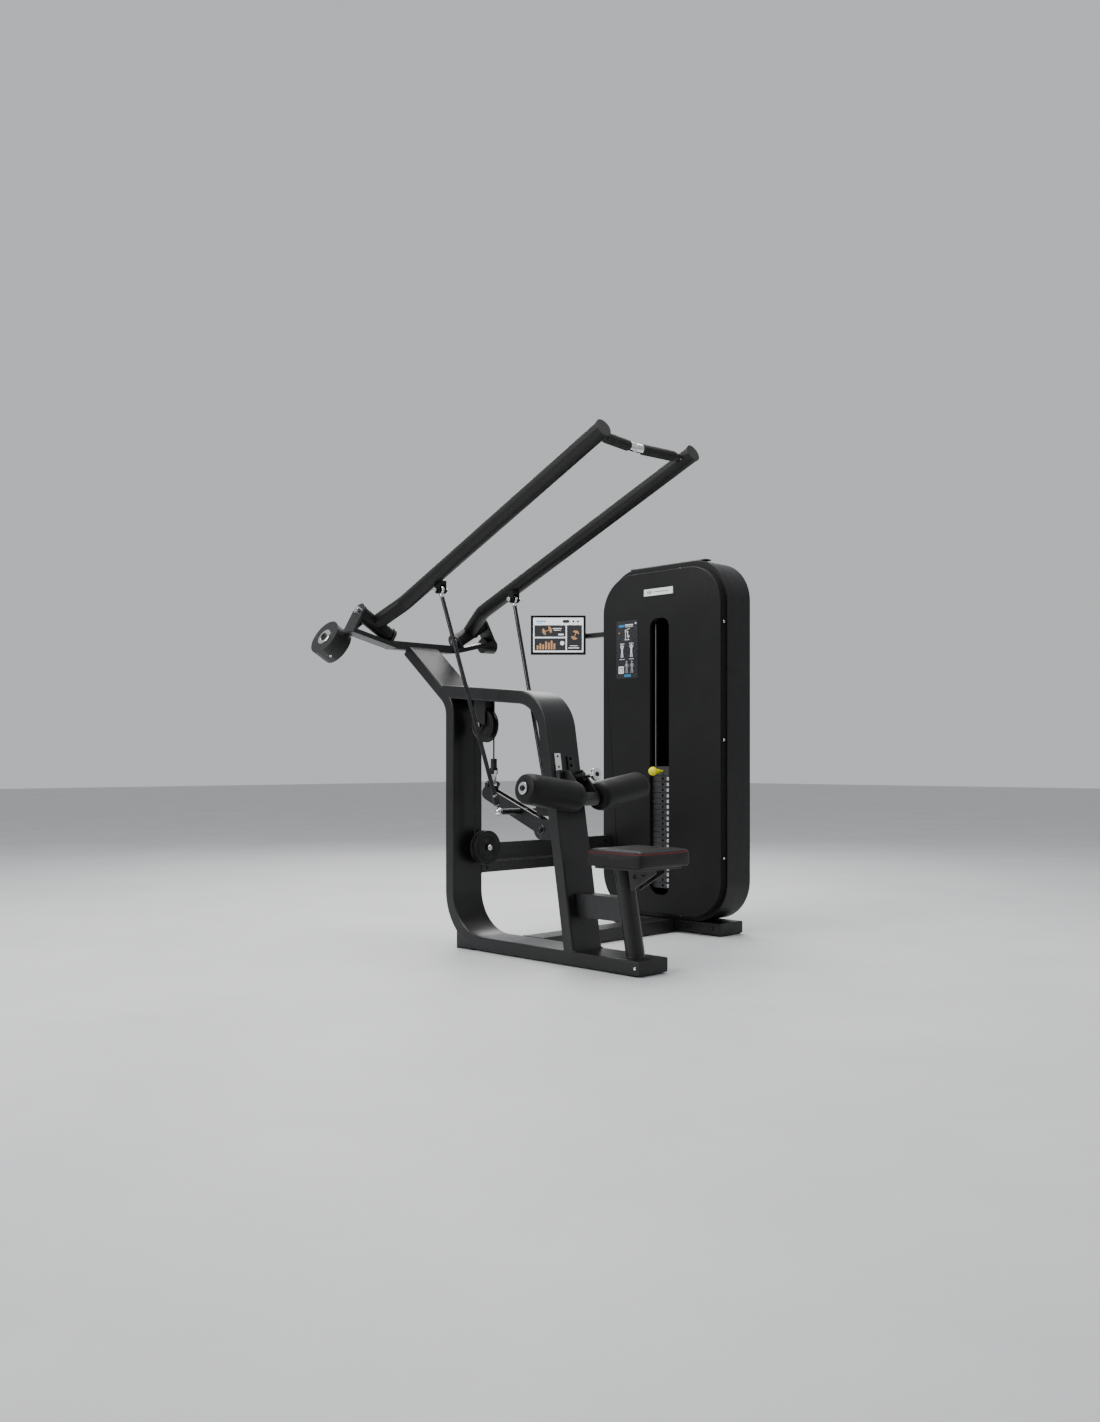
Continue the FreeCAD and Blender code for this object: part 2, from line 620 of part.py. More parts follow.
def build_socket():
    """Swaged end of the cable with a fork and pin for the shackle."""
    parts = [across("socket_pin", 4, SOCKET_PIN, -14, 14)]
    for i, y_low in enumerate((-12, 8)):
        parts.append(block(f"socket_cheek_{i}", (SOCKET_PIN.x - 9, y_low, SOCKET_PIN.z - 9),
                           (SOCKET_PIN.x + 9, y_low + 4, SOCKET_PIN.z + 16)))
    parts.append(rod_between("socket_barrel", 12, SOCKET_PIN + Z_AXIS * 13, (SOCKET_PIN.x, 0, SOCKET_TOP)))
    return fuse("cable_socket", parts)


SOCKET_PIN = Vector(-722, 0, 683.3)
SOCKET_TOP = 734
node("cable_shackle", build_shackle())
node("cable_socket", build_socket())

clevis_parts = []
for i, y_low in enumerate((-38, 28)):
    clevis_parts.append(across(f"clevis_round_{i}", 37, LEVER_PIVOT, y_low, y_low + 10))
    clevis_parts.append(block(f"clevis_web_{i}", (LEVER_PIVOT.x, y_low, LEVER_PIVOT.z - 37),
                              (LEVER_PIVOT.x + 75, y_low + 10, LEVER_PIVOT.z + 37)))
clevis_parts.append(across("clevis_pin", "Sheet.lever_pin", LEVER_PIVOT, -46, 46))
clevis_parts.append(block("stop_arm", (-466, -24, 550), (-350, 24, 558)))
clevis_solid = group("clevis_solid", [fuse("clevis_fused", clevis_parts[:-1]), clevis_parts[-1]])
node("lever_clevis", cut("lever_clevis", clevis_solid, mast_tube))

# ---------------------------------------------------------------- pulleys and their brackets

PATH_R, SMALL_R = dim("cable_path_radius"), dim("small_path_radius")
UPPER_PULLEY = Vector(-777, 0, 864)
CABLE_DOWN_X = UPPER_PULLEY.x - PATH_R
LOWER_PULLEY = Vector(CABLE_DOWN_X, PATH_R, 385)
CABLE_LOW_Z = LOWER_PULLEY.z - PATH_R
STACK_Y = PANEL_FRONT + 23 + dim("plate_deep") / 2
TOWER_LOW_PULLEY = Vector(CABLE_DOWN_X, STACK_Y - SMALL_R, CABLE_LOW_Z + SMALL_R)
TOP_PULLEY_Z = 1440
TOWER_TOP_A = Vector(CABLE_DOWN_X + SMALL_R, STACK_Y, TOP_PULLEY_Z)
TOWER_TOP_B = Vector(TOWER_X - SMALL_R, STACK_Y, TOP_PULLEY_Z)


def pulley(name, centre, axis, radius, wide, groove):
    half = wide / 2
    bore = dim("axle_radius") + dim("running_gap")
    outline = [
        (bore, -half), (radius, -half), (radius, -half + 3.5), (groove, -3.5),
        (groove, 3.5), (radius, half - 3.5), (radius, half), (bore, half),
    ]
    return node(name, turned_body(name, outline, pointing(centre, axis)))


BIG = dim("pulley_radius"), dim("pulley_wide"), dim("groove_radius")
SMALL = dim("small_pulley_radius"), dim("small_pulley_wide"), dim("small_groove_radius")
pulley("upper_pulley", UPPER_PULLEY, Y_AXIS, *BIG)
pulley("lower_pulley", LOWER_PULLEY, X_AXIS, *BIG)
pulley("tower_low_pulley", TOWER_LOW_PULLEY, X_AXIS, *SMALL)
pulley("tower_top_pulley_a", TOWER_TOP_A, Y_AXIS, *SMALL)
pulley("tower_top_pulley_b", TOWER_TOP_B, Y_AXIS, *SMALL)

hanger_parts = [across("upper_axle", "Sheet.axle_radius", UPPER_PULLEY, -34, 34)]
for i, y_low in enumerate((-26, 20)):
    hanger_parts.append(block(f"hanger_plate_{i}", (UPPER_PULLEY.x - 32, y_low, UPPER_PULLEY.z),
                              (UPPER_PULLEY.x + 32, y_low + 6, 975)))
    hanger_parts.append(across(f"hanger_round_{i}", 22, UPPER_PULLEY, y_low, y_low + 6))
upper_hanger = cut("upper_hanger", fuse("upper_hanger_solid", hanger_parts), mast_tube)
lower_axle = rod_between("lower_axle_rod", "Sheet.axle_radius", (POST_FRONT, PATH_R, 385), (-808, PATH_R, 385))
lower_spacer = rod_between("lower_axle_spacer", 14, (POST_FRONT, PATH_R, 385), (-849, PATH_R, 385))
lower_head = rod_between("lower_axle_head", 12, (-815, PATH_R, 385), (-806, PATH_R, 385))
lower_mount = fuse("lower_mount", [lower_axle, lower_spacer, lower_head])
node("pulley_mounts", group("pulley_mounts", [upper_hanger, lower_mount]))

# ---------------------------------------------------------------- weight tower

HALF_PANEL_HIGH = (dim("panel_high") - dim("panel_low")) / 2
PANEL_MID_Z = (dim("panel_high") + dim("panel_low")) / 2
SHELL_MID_Z = (dim("tower_high") + dim("tower_low")) / 2
SHELL_HIGH = dim("tower_high") - dim("tower_low")
WALL = dim("sheet_wall")


def tower_outline(wide, high, corner):
    return rectangle(wide, high, corner)


def tower_layer(name, wide, high, corner, thickness, y_low, mid_z):
    return plate_xz(name, tower_outline(wide, high, corner), thickness, y_low, x=TOWER_X, z=mid_z)


def build_front_panel():
    wide, high, corner = dim("panel_wide"), 2 * HALF_PANEL_HIGH, dim("panel_corner")
    skin = tower_layer("panel_skin", wide, high, corner, 40, PANEL_FRONT, PANEL_MID_Z)
    room = tower_layer("panel_room", wide - 2 * WALL, high - 2 * WALL, corner - WALL, 40,
                       PANEL_FRONT + WALL, PANEL_MID_Z)
    tray = cut("panel_tray", skin, room)
    slot_wide = dim("slot_wide")
    slot_high = dim("slot_high") - dim("slot_low")
    slot_mid = (dim("slot_high") + dim("slot_low")) / 2
    collar = tower_layer("slot_collar", slot_wide + 6, slot_high + 6, 43, 16, PANEL_FRONT, slot_mid)
    slot = tower_layer("slot_hole", slot_wide, slot_high, 40, 40, PANEL_FRONT - 5, slot_mid)
    cable_hole = rod_between("panel_cable_hole", 14, (CABLE_DOWN_X, PANEL_FRONT - 5, CABLE_LOW_Z),
                             (CABLE_DOWN_X, PANEL_FRONT + 10, CABLE_LOW_Z))
    holes = fuse("panel_holes", [slot, cable_hole])
    return cut("tower_front_panel", fuse("panel_solid", [tray, collar]), holes)


node("tower_front_panel", build_front_panel())


def build_shell():
    wide, corner = dim("tower_wide"), dim("tower_corner")
    depth = dim("tower_back") - WALL - TOWER_NEAR
    skin = tower_layer("shell_skin", wide, SHELL_HIGH, corner, depth, TOWER_NEAR, SHELL_MID_Z)
    room = tower_layer("shell_room", wide - 2 * WALL, SHELL_HIGH - 2 * WALL, corner - WALL, depth,
                       TOWER_NEAR + WALL, SHELL_MID_Z)
    mouth = tower_layer("shell_mouth", wide - 60, SHELL_HIGH - 90, corner - 30, 30, TOWER_NEAR - 10, SHELL_MID_Z)
    hollow = cut("shell_hollow", cut("shell_tray", skin, room), mouth)
    top_rail = block("shell_top_rail", (-804, 886, dim("tower_high") - 2), (-388, 926, dim("tower_high") + 4))
    return fuse("tower_shell", [hollow, top_rail])


node("tower_shell", build_shell())
node("tower_back_panel", tower_layer(
    "tower_back_panel", dim("tower_wide"), SHELL_HIGH, dim("tower_corner"), WALL,
    dim("tower_back") - WALL, SHELL_MID_Z))

INNER_FLOOR = dim("tower_low") + WALL
FRAME_FLOOR = 112


def build_tower_frame():
    parts = [block("frame_foot", (-866, 893, FRAME_FLOOR - 12), (-334, 1003, FRAME_FLOOR))]
    for i, x in enumerate((-740, -500)):
        parts.append(block(f"frame_leg_{i}", (x, 893, INNER_FLOOR), (x + 40, 1003, FRAME_FLOOR - 12)))
    for i, x in enumerate((-866, -352)):
        parts.append(block(f"upright_{i}", (x, STACK_Y - 20, FRAME_FLOOR), (x + 18, STACK_Y + 20, 1500)))
    parts.append(block("top_beam", (-850, STACK_Y - 20, 1500), (-350, STACK_Y + 20, 1530)))
    parts.append(block("guide_bridge", (-850, STACK_Y - 35, 1340), (-350, STACK_Y + 35, 1352)))
    for i, centre in enumerate((TOWER_TOP_A, TOWER_TOP_B)):
        for j, side in enumerate((-21, 15)):
            parts.append(block(f"top_hanger_{i}{j}", (centre.x - 16, STACK_Y + side, centre.z - 16),
                               (centre.x + 16, STACK_Y + side + 6, 1500)))
        parts.append(across(f"top_axle_{i}", "Sheet.axle_radius", centre, STACK_Y - 26, STACK_Y + 26))
    low = TOWER_LOW_PULLEY
    parts.append(rod_between("low_axle", "Sheet.axle_radius", (-855, low.y, low.z), (low.x + 20, low.y, low.z)))
    parts.append(block("low_axle_plate", (-868, low.y - 20, low.z - 20), (-850, STACK_Y, low.z + 20)))
    solid = fuse("tower_frame_solid", parts)
    passes = [rod_between(f"cable_pass_{i}", 9, (x, STACK_Y, 1330), (x, STACK_Y, 1360))
              for i, x in enumerate((CABLE_DOWN_X, TOWER_X))]
    return cut("tower_frame", solid, fuse("cable_passes", passes))


node("tower_frame", build_tower_frame())

GUIDE_XS = [TOWER_X - dim("guide_side"), TOWER_X + dim("guide_side")]
node("guide_rods", group("guide_rods", [
    rod_between(f"guide_rod_{i}", "Sheet.guide_radius", (x, STACK_Y, FRAME_FLOOR), (x, STACK_Y, 1340))
    for i, x in enumerate(GUIDE_XS)]))

STACK_LOW = dim("stack_low")
PLATE_PITCH = dim("plate_pitch")
PLATE_COUNT = int(dim("plate_count"))
HEAD_LOW = STACK_LOW + PLATE_COUNT * PLATE_PITCH
HEAD_MID = HEAD_LOW + dim("head_plate") / 2


def drilled_plate(name, thickness, z_low, guide_hole, stem_hole, pin_z):
    """A weight plate with two guide holes, the stem hole and the selector hole from the front."""
    blank = box(f"{name}_blank", "Sheet.plate_long", "Sheet.plate_deep", thickness,
                at(TOWER_X - dim("plate_long") / 2, PANEL_FRONT + 23, z_low))
    drills = [rod_between(f"{name}_guide_{i}", guide_hole, (x, STACK_Y, z_low - 5), (x, STACK_Y, z_low + 60))
              for i, x in enumerate(GUIDE_XS)]
    drills.append(rod_between(f"{name}_stem", stem_hole, (TOWER_X, STACK_Y, z_low - 5), (TOWER_X, STACK_Y, z_low + 60)))
    drills.append(rod_between(f"{name}_pin", 5.5, (TOWER_X, PANEL_FRONT, pin_z), (TOWER_X, STACK_Y, pin_z)))
    return cut(name, blank, fuse(f"{name}_drills", drills))


one_plate = drilled_plate("one_plate", "Sheet.plate_thick", STACK_LOW, 12, 13, STACK_LOW + dim("plate_thick") / 2)
doc.recompute()
plate_copies = doc.addObject("Part::Feature", "weight_plates")
plate_copies.Shape = Part.makeCompound([
    one_plate.Shape.translated(Vector(0, 0, i * PLATE_PITCH)) for i in range(PLATE_COUNT)])
node("weight_plates", plate_copies)

node("rubber_bumpers", group("rubber_bumpers", [
    cut(f"stack_bumper_{i}",
        rod_between(f"stack_bumper_form_{i}", 22, (x, STACK_Y, FRAME_FLOOR), (x, STACK_Y, STACK_LOW)),
        rod_between(f"stack_bumper_bore_{i}", 11, (x, STACK_Y, FRAME_FLOOR), (x, STACK_Y, STACK_LOW)))
    for i, x in enumerate(GUIDE_XS)]
    + [block("lever_stop", (-463, -22, 524), (-398, 22, 550))]))

HEAD_GUIDE_HOLE = "Sheet.guide_radius + Sheet.running_gap"
head_plate = drilled_plate("head_form", "Sheet.head_plate", HEAD_LOW, HEAD_GUIDE_HOLE, "Sheet.stem_radius", HEAD_MID)
node("head_plate", head_plate)
HEAD_TOP = HEAD_LOW + dim("head_plate")
stem_bar = rod_between("stem_bar", "Sheet.stem_radius", (TOWER_X, STACK_Y, STACK_LOW + 8), (TOWER_X, STACK_Y, HEAD_TOP))
stem_eye = rod_between("stem_eye", 15, (TOWER_X, STACK_Y, HEAD_TOP), (TOWER_X, STACK_Y, HEAD_TOP + 24))
node("selector_stem", fuse("selector_stem", [stem_bar, stem_eye]))
pin_y = (STACK_Y - dim("stem_radius"), 826, 790)
pin_parts = [
    rod_between("pin_shaft", 4.5, (TOWER_X, pin_y[0] - 0.5, HEAD_MID), (TOWER_X, pin_y[1], HEAD_MID)),
    rod_between("pin_neck", 9, (TOWER_X, pin_y[1] + 8, HEAD_MID), (TOWER_X, pin_y[2] + 12, HEAD_MID)),
    ball("pin_ball", 19, (TOWER_X, pin_y[2] + 8, HEAD_MID)),
]
node("selector_pin", fuse("selector_pin", pin_parts))

# ---------------------------------------------------------------- labels and small fasteners

label_parts = [
    block("name_plate", (-686, PANEL_FRONT - 1.5, 1432), (-522, PANEL_FRONT, 1464)),
    block("placard", (-844, PANEL_FRONT - 1.5, 1086), (-720, PANEL_FRONT, 1338)),
]
for i in range(PLATE_COUNT):
    z_low = STACK_LOW + i * PLATE_PITCH + 5
    label_parts.append(block(f"weight_label_{i}", (TOWER_X + 24, PANEL_FRONT + 22, z_low),
                             (TOWER_X + 42, PANEL_FRONT + 23, z_low + 13)))
node("tower_labels", group("tower_labels", label_parts))

bolt_parts = []
for i, side in enumerate((-1, 1)):
    bolt_parts.append(rod_between(f"rail_screw_{i}", 7, (64, side * WIDE / 2, RAIL_MID), (64, side * (WIDE / 2 + 3), RAIL_MID)))
    panel_edge = TOWER_X + side * dim("panel_wide") / 2
    for j, z in enumerate((327, 811, 1295)):
        bolt_parts.append(rod_between(f"panel_screw_{i}{j}", 5, (panel_edge, 865, z), (panel_edge + side * 4, 865, z)))
for i, x in enumerate((-751, -500)):
    bolt_parts.append(rod_between(f"top_screw_{i}", 5, (x, 862, dim("panel_high")), (x, 862, dim("panel_high") + 4)))
for i, x in enumerate((-470, -350)):
    bolt_parts.append(rod_between(f"base_bolt_{i}", 9, (x, TOWER_NEAR - 7, RAIL_MID), (x, TOWER_NEAR, RAIL_MID)))
for i, z in enumerate((300, 379)):
    bolt_parts.append(rod_between(f"link_bolt_{i}", 9, (-877, 110, z), (-870, 110, z)))
node("frame_bolts", group("frame_bolts", bolt_parts))

# ---------------------------------------------------------------- screen on its arm

SCREEN_MID = Vector(-1227, 860, 1310)
SCREEN_FACE = Vector(1, -1, 0).normalize()
SCREEN_RIGHT = Vector(1, 1, 0).normalize()
screen_body = box("monitor", 255, 182, 18,
                  facing(SCREEN_MID - SCREEN_RIGHT * 127.5 - Z_AXIS * 91 - SCREEN_FACE * 18, SCREEN_RIGHT, SCREEN_FACE))
node("monitor", screen_body)
arm_tube = piped_body(
    "monitor_tube", [(0, 0, 0), (225, 0, 45), (308, 83, 0)],
    ring(14, 11), facing((-930, 985, 1310), Vector(-1, 0, 0), Vector(0, -1, 0)))
arm_flange = rod_between("monitor_flange", 30, (-930, 985, 1310), (-936, 985, 1310))
arm_plate = box("monitor_plate", 70, 70, 6,
                facing(SCREEN_MID - SCREEN_RIGHT * 35 - Z_AXIS * 35 - SCREEN_FACE * 24, SCREEN_RIGHT, SCREEN_FACE))
node("monitor_arm", fuse("monitor_arm", [arm_tube, arm_flange, arm_plate]))

# ---------------------------------------------------------------- thigh pad and its height adjuster

MAST_OUT = Vector(math.cos(MAST_LEAN), 0, math.sin(MAST_LEAN))
MAST_UP = Vector(-math.sin(MAST_LEAN), 0, math.cos(MAST_LEAN))
PAD_ZERO = Vector(-326.6, 0, 680)


def mast_point(out, side, up):
    """A point on the mast's front face: out is off the face, side is Y, up is along the mast."""
    return PAD_ZERO + MAST_OUT * out + Y_AXIS * side + MAST_UP * up


def mast_block(name, low, high):
    sizes = [b - a for a, b in zip(low, high)]
    return box(name, *sizes, facing(mast_point(*low), MAST_OUT, MAST_UP))


guide_strip = mast_block("guide_strip", (0, -60, -85), (6, -30, 73))
latch_strip = mast_block("latch_strip", (0, 5, -112), (6, 35, 63))
latch_holes = [
    cylinder(f"latch_hole_{i}", 6.5, 12, pointing(mast_point(-1, 20, up), MAST_OUT))
    for i, up in enumerate(range(-97, 54, 25))]
node("pad_guide", group("pad_guide", [guide_strip, cut("latch_drilled", latch_strip, fuse("latch_holes", latch_holes))]))

AXLE_MID = Vector(-226, 0, 590)
ROLLER_IN = Vector(-228, -49, 597)
ROLLER_DIR = (Vector(-238, -302, 633) - ROLLER_IN).normalize()
ROLLER_OUT = ROLLER_IN + ROLLER_DIR * dim("roller_long")


def build_carriage():
    parts = [mast_block("carriage_plate", (8, -62, -62), (22, 62, 10))]
    for i, side in enumerate((-40, 32)):
        place = facing(mast_point(0, side, 0), MAST_OUT, MAST_UP)
        outline = rounded_outline([(18, 6, 0), (18, -62, 0), (72, -124, 8), (108, -112, 8), (104, -84, 8), (46, 2, 8)])
        parts.append(padded_body(f"carriage_cheek_{i}", "XZ_Plane", outline, 8, place, back=True))
    parts.append(cylinder("axle_boss", 24, 80, pointing(AXLE_MID - Y_AXIS * 40, Y_AXIS)))
    parts.append(cylinder("knob_housing", 14, 44, pointing(mast_point(20, 20, -22), MAST_OUT)))
    axle_start = ROLLER_IN - ROLLER_DIR * 49
    axle = rod_between("left_axle", "Sheet.roller_bore", axle_start, ROLLER_OUT + ROLLER_DIR * 3)
    collar = rod_between("left_axle_collar", 20, axle_start, ROLLER_IN - ROLLER_DIR * 1.5)
    washer = rod_between("left_washer", 21, ROLLER_OUT + ROLLER_DIR * 1.5, ROLLER_OUT + ROLLER_DIR * 6)
    bolt = rod_between("left_washer_bolt", 8, ROLLER_OUT + ROLLER_DIR * 5, ROLLER_OUT + ROLLER_DIR * 12)
    left_side = fuse("left_axle_group", [axle, collar, washer, bolt])
    parts += [left_side, mirrored("right_axle_group", left_side)]
    solid = fuse("carriage_solid", parts)
    bore = cylinder("plunger_bore", "7 + Sheet.running_gap", 80, pointing(mast_point(-5, 20, -22), MAST_OUT))
    return cut("pad_carriage", solid, bore)


node("pad_carriage", build_carriage())
plunger = cylinder("plunger", 7, 110, pointing(mast_point(9, 20, -22), MAST_OUT))
plunger_tip = cylinder("plunger_tip", 5.5, 4.5, pointing(mast_point(6.5, 20, -22), MAST_OUT))
knob_disc = cylinder("knob_disc", 23, 13, pointing(mast_point(114, 20, -22), MAST_OUT))
node("pad_knob", fuse("pad_knob", [plunger, plunger_tip, knob_disc]))
roller_blank = rod_between("roller_form", "Sheet.roller_radius", ROLLER_IN, ROLLER_OUT)
roller_bore = rod_between("roller_bore_form", "Sheet.roller_bore + Sheet.running_gap", ROLLER_IN - ROLLER_DIR * 5,
                          ROLLER_OUT + ROLLER_DIR * 5)
left_roller = node("left_roller", cut("left_roller", roller_blank, roller_bore))
node("right_roller", mirrored("right_roller", left_roller))

# ---------------------------------------------------------------- cable

CABLE_R = dim("cable_radius")


def quarter_arc(first, centre, last):
    centre = Vector(centre)
    first, last = Vector(first), Vector(last)
    radius = (first - centre).Length
    middle = centre + ((first - centre) + (last - centre)).normalize() * radius
    return Part.Arc(first, middle, last).toShape()


def build_main_cable():
    """Cable held by the pulleys, from the front of the upper pulley to the last pulley in the tower."""
    up, low = UPPER_PULLEY, LOWER_PULLEY
    rise, top_a, top_b = TOWER_LOW_PULLEY, TOWER_TOP_A, TOWER_TOP_B
    front = up + X_AXIS * PATH_R
    crown = up + Z_AXIS * PATH_R
    back = up - X_AXIS * PATH_R
    down = low - Y_AXIS * PATH_R
    under = low - Z_AXIS * PATH_R
    tower_in = rise - Z_AXIS * SMALL_R
    tower_up = rise + Y_AXIS * SMALL_R
    a_side = top_a - X_AXIS * SMALL_R
    a_top = top_a + Z_AXIS * SMALL_R
    b_top = top_b + Z_AXIS * SMALL_R
    b_side = top_b + X_AXIS * SMALL_R
    edges = [
        quarter_arc(front, up, crown), quarter_arc(crown, up, back), Part.makeLine(back, down),
        quarter_arc(down, low, under), Part.makeLine(under, tower_in),
        quarter_arc(tower_in, rise, tower_up), Part.makeLine(tower_up, a_side),
        quarter_arc(a_side, top_a, a_top), Part.makeLine(a_top, b_top), quarter_arc(b_top, top_b, b_side),
    ]
    section = Part.Wire(Part.makeCircle(CABLE_R, front, Z_AXIS))
    return Part.Wire(edges).makePipeShell([section], True, False)


main_cable = doc.addObject("Part::Feature", "main_cable")
main_cable.Shape = build_main_cable()
node("main_cable", main_cable)
front_top = UPPER_PULLEY + X_AXIS * PATH_R
node("front_cable", rod_between("front_cable", "Sheet.cable_radius", (front_top.x, 0, SOCKET_TOP), front_top))
stack_top = TOWER_TOP_B + X_AXIS * SMALL_R
node("stack_cable", rod_between("stack_cable", "Sheet.cable_radius", (stack_top.x, STACK_Y, HEAD_TOP + 24), stack_top))

# ---------------------------------------------------------------- check and write

doc.recompute()
for obj in doc.Objects:
    if "Invalid" in obj.State or "Error" in obj.State:
        raise RuntimeError(f"{obj.Name} failed: {obj.State}")
os.makedirs("parts", exist_ok=True)
for name, obj in NODES.items():
    shape = obj.Shape
    if shape.isNull() or not shape.isValid() or not shape.Solids:
        raise RuntimeError(f"{name} has no valid solid")
for name, obj in NODES.items():
    obj.Shape.exportStep(f"parts/{name}.step")
    bounds = obj.Shape.BoundBox
    print(f"{name:22s} solids {len(obj.Shape.Solids):3d} "
          f"x {bounds.XMin:8.1f} {bounds.XMax:8.1f} y {bounds.YMin:8.1f} {bounds.YMax:8.1f} "
          f"z {bounds.ZMin:8.1f} {bounds.ZMax:8.1f}")
print(len(NODES), "nodes")
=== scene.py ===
import math

import bmesh
import bpy
from mathutils import Matrix, Vector
from mathutils.bvhtree import BVHTree


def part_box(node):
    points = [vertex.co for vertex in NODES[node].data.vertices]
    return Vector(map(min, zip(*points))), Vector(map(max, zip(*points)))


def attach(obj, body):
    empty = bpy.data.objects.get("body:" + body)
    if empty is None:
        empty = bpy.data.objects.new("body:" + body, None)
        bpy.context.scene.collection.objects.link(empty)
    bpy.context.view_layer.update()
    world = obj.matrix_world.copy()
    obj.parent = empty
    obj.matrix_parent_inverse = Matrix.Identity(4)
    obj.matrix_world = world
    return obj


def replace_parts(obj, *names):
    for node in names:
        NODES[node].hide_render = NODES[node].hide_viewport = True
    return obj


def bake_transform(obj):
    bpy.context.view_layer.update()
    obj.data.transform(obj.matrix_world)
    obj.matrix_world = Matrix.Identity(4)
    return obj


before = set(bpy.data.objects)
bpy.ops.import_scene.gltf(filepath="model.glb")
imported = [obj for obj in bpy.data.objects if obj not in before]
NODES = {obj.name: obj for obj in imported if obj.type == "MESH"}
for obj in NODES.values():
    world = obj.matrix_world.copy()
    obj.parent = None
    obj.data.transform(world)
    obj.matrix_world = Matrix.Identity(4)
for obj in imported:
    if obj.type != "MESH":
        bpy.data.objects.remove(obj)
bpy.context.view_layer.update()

scene = bpy.context.scene
X, Y, Z = Vector((1, 0, 0)), Vector((0, 1, 0)), Vector((0, 0, 1))
MM = 0.001

# ---------------------------------------------------------------- camera

CAMERA_AT = Vector((2.748, -3.140, 0.724))
HEADING = math.radians(45.211)
FOCAL_PIXELS = 1215.3
FRAME_HIGH = 1422
HORIZON_DROP = 50.3

camera_data = bpy.data.cameras.new("camera")
camera_data.sensor_width = 36
camera_data.lens = FOCAL_PIXELS * camera_data.sensor_width / FRAME_HIGH
camera_data.shift_y = HORIZON_DROP / FRAME_HIGH
camera = bpy.data.objects.new("camera", camera_data)
scene.collection.objects.link(camera)
camera.location = CAMERA_AT
camera.rotation_euler = (math.radians(90), 0, HEADING)
scene.camera = camera

# ---------------------------------------------------------------- materials

MIX_COLOUR_A, MIX_COLOUR_B, MIX_COLOUR_RESULT = 6, 7, 2
# Y past which the front panel's return edge is painted nearly black as shade
PANEL_FACE_DEEP = 0.8425
GUIDE_SPLIT = -0.01
EDGE_PALER = 3


class Nodes:
    """A small builder for one material's node tree."""

    def __init__(self, name, **sockets):
        self.material = bpy.data.materials.new(name)
        self.material.use_nodes = True
        self.tree = self.material.node_tree
        self.shader = self.tree.nodes["Principled BSDF"]
        for key, value in sockets.items():
            self.shader.inputs[key.replace("_", " ")].default_value = value
        self.coords = self.tree.nodes.new("ShaderNodeTexCoord").outputs["Object"]

    def node(self, kind, **values):
        node = self.tree.nodes.new(kind)
        for key, value in values.items():
            if hasattr(node, key):
                setattr(node, key, value)
            else:
                node.inputs[key.replace("_", " ")].default_value = value
        return node

    def link(self, source, target):
        self.tree.links.new(source, target)

    def stretched(self, scale):
        mapping = self.node("ShaderNodeMapping")
        mapping.inputs["Scale"].default_value = scale
        self.link(self.coords, mapping.inputs["Vector"])
        return mapping.outputs["Vector"]

    def noise(self, scale, detail=3, stretch=None):
        noise = self.node("ShaderNodeTexNoise", Scale=scale, Detail=detail, Roughness=0.6)
        self.link(self.stretched(stretch) if stretch else self.coords, noise.inputs["Vector"])
        return noise.outputs["Fac"]

    def cells(self, scale, feature="F1"):
        cells = self.node("ShaderNodeTexVoronoi", feature=feature, Scale=scale)
        self.link(self.coords, cells.inputs["Vector"])
        return cells.outputs["Distance"]

    def ramp(self, value, stops):
        ramp = self.node("ShaderNodeValToRGB")
        self.link(value, ramp.inputs["Fac"])
        elements = ramp.color_ramp.elements
        while len(elements) < len(stops):
            elements.new(0.5)
        for element, (place, colour) in zip(elements, stops):
            element.position = place
            element.color = (*colour, 1)
        return ramp.outputs["Color"]

    def grey_ramp(self, value, low, high, start=0.3, end=0.7):
        return self.ramp(value, [(start, (low,) * 3), (end, (high,) * 3)])

    def add(self, first, second, weight=1.0):
        mix = self.node("ShaderNodeMath", operation="MULTIPLY_ADD")
        self.link(second, mix.inputs[0])
        mix.inputs[1].default_value = weight
        self.link(first, mix.inputs[2])
        return mix.outputs[0]

    def mixed(self, factor, first, second):
        """Colour first where factor is 0 and second where it is 1; each is a socket or a constant."""
        mix = self.node("ShaderNodeMix", data_type="RGBA")
        self.link(factor, mix.inputs["Factor"])
        for socket, value in ((MIX_COLOUR_A, first), (MIX_COLOUR_B, second)):
            if isinstance(value, tuple):
                mix.inputs[socket].default_value = (*value, 1)
            else:
                self.link(value, mix.inputs[socket])
        return mix.outputs[MIX_COLOUR_RESULT]

    def where_y(self, operation, limit):
        """1 where the test of the object's Y against limit holds, and 0 elsewhere."""
        place = self.node("ShaderNodeSeparateXYZ")
        self.link(self.coords, place.inputs["Vector"])
        test = self.node("ShaderNodeMath", operation=operation)
        test.inputs[1].default_value = limit
        self.link(place.outputs["Y"], test.inputs[0])
        return test.outputs[0]

    def bump(self, height, strength, distance=0.001):
        bump = self.node("ShaderNodeBump", Strength=strength, Distance=distance)
        self.link(height, bump.inputs["Height"])
        self.link(bump.outputs["Normal"], self.shader.inputs["Normal"])

    def colour(self, source):
        self.link(source, self.shader.inputs["Base Color"])

    def roughness(self, source):
        self.link(source, self.shader.inputs["Roughness"])


def worn(nodes, base, edge, start=0.56, end=0.66):
    """Base colour that goes lighter where the surface turns over an edge."""
    geometry = nodes.node("ShaderNodeNewGeometry")
    broken = nodes.add(geometry.outputs["Pointiness"], nodes.noise(90), 0.06)
    return nodes.mixed(nodes.grey_ramp(broken, 0, 1, start, end), base, edge)


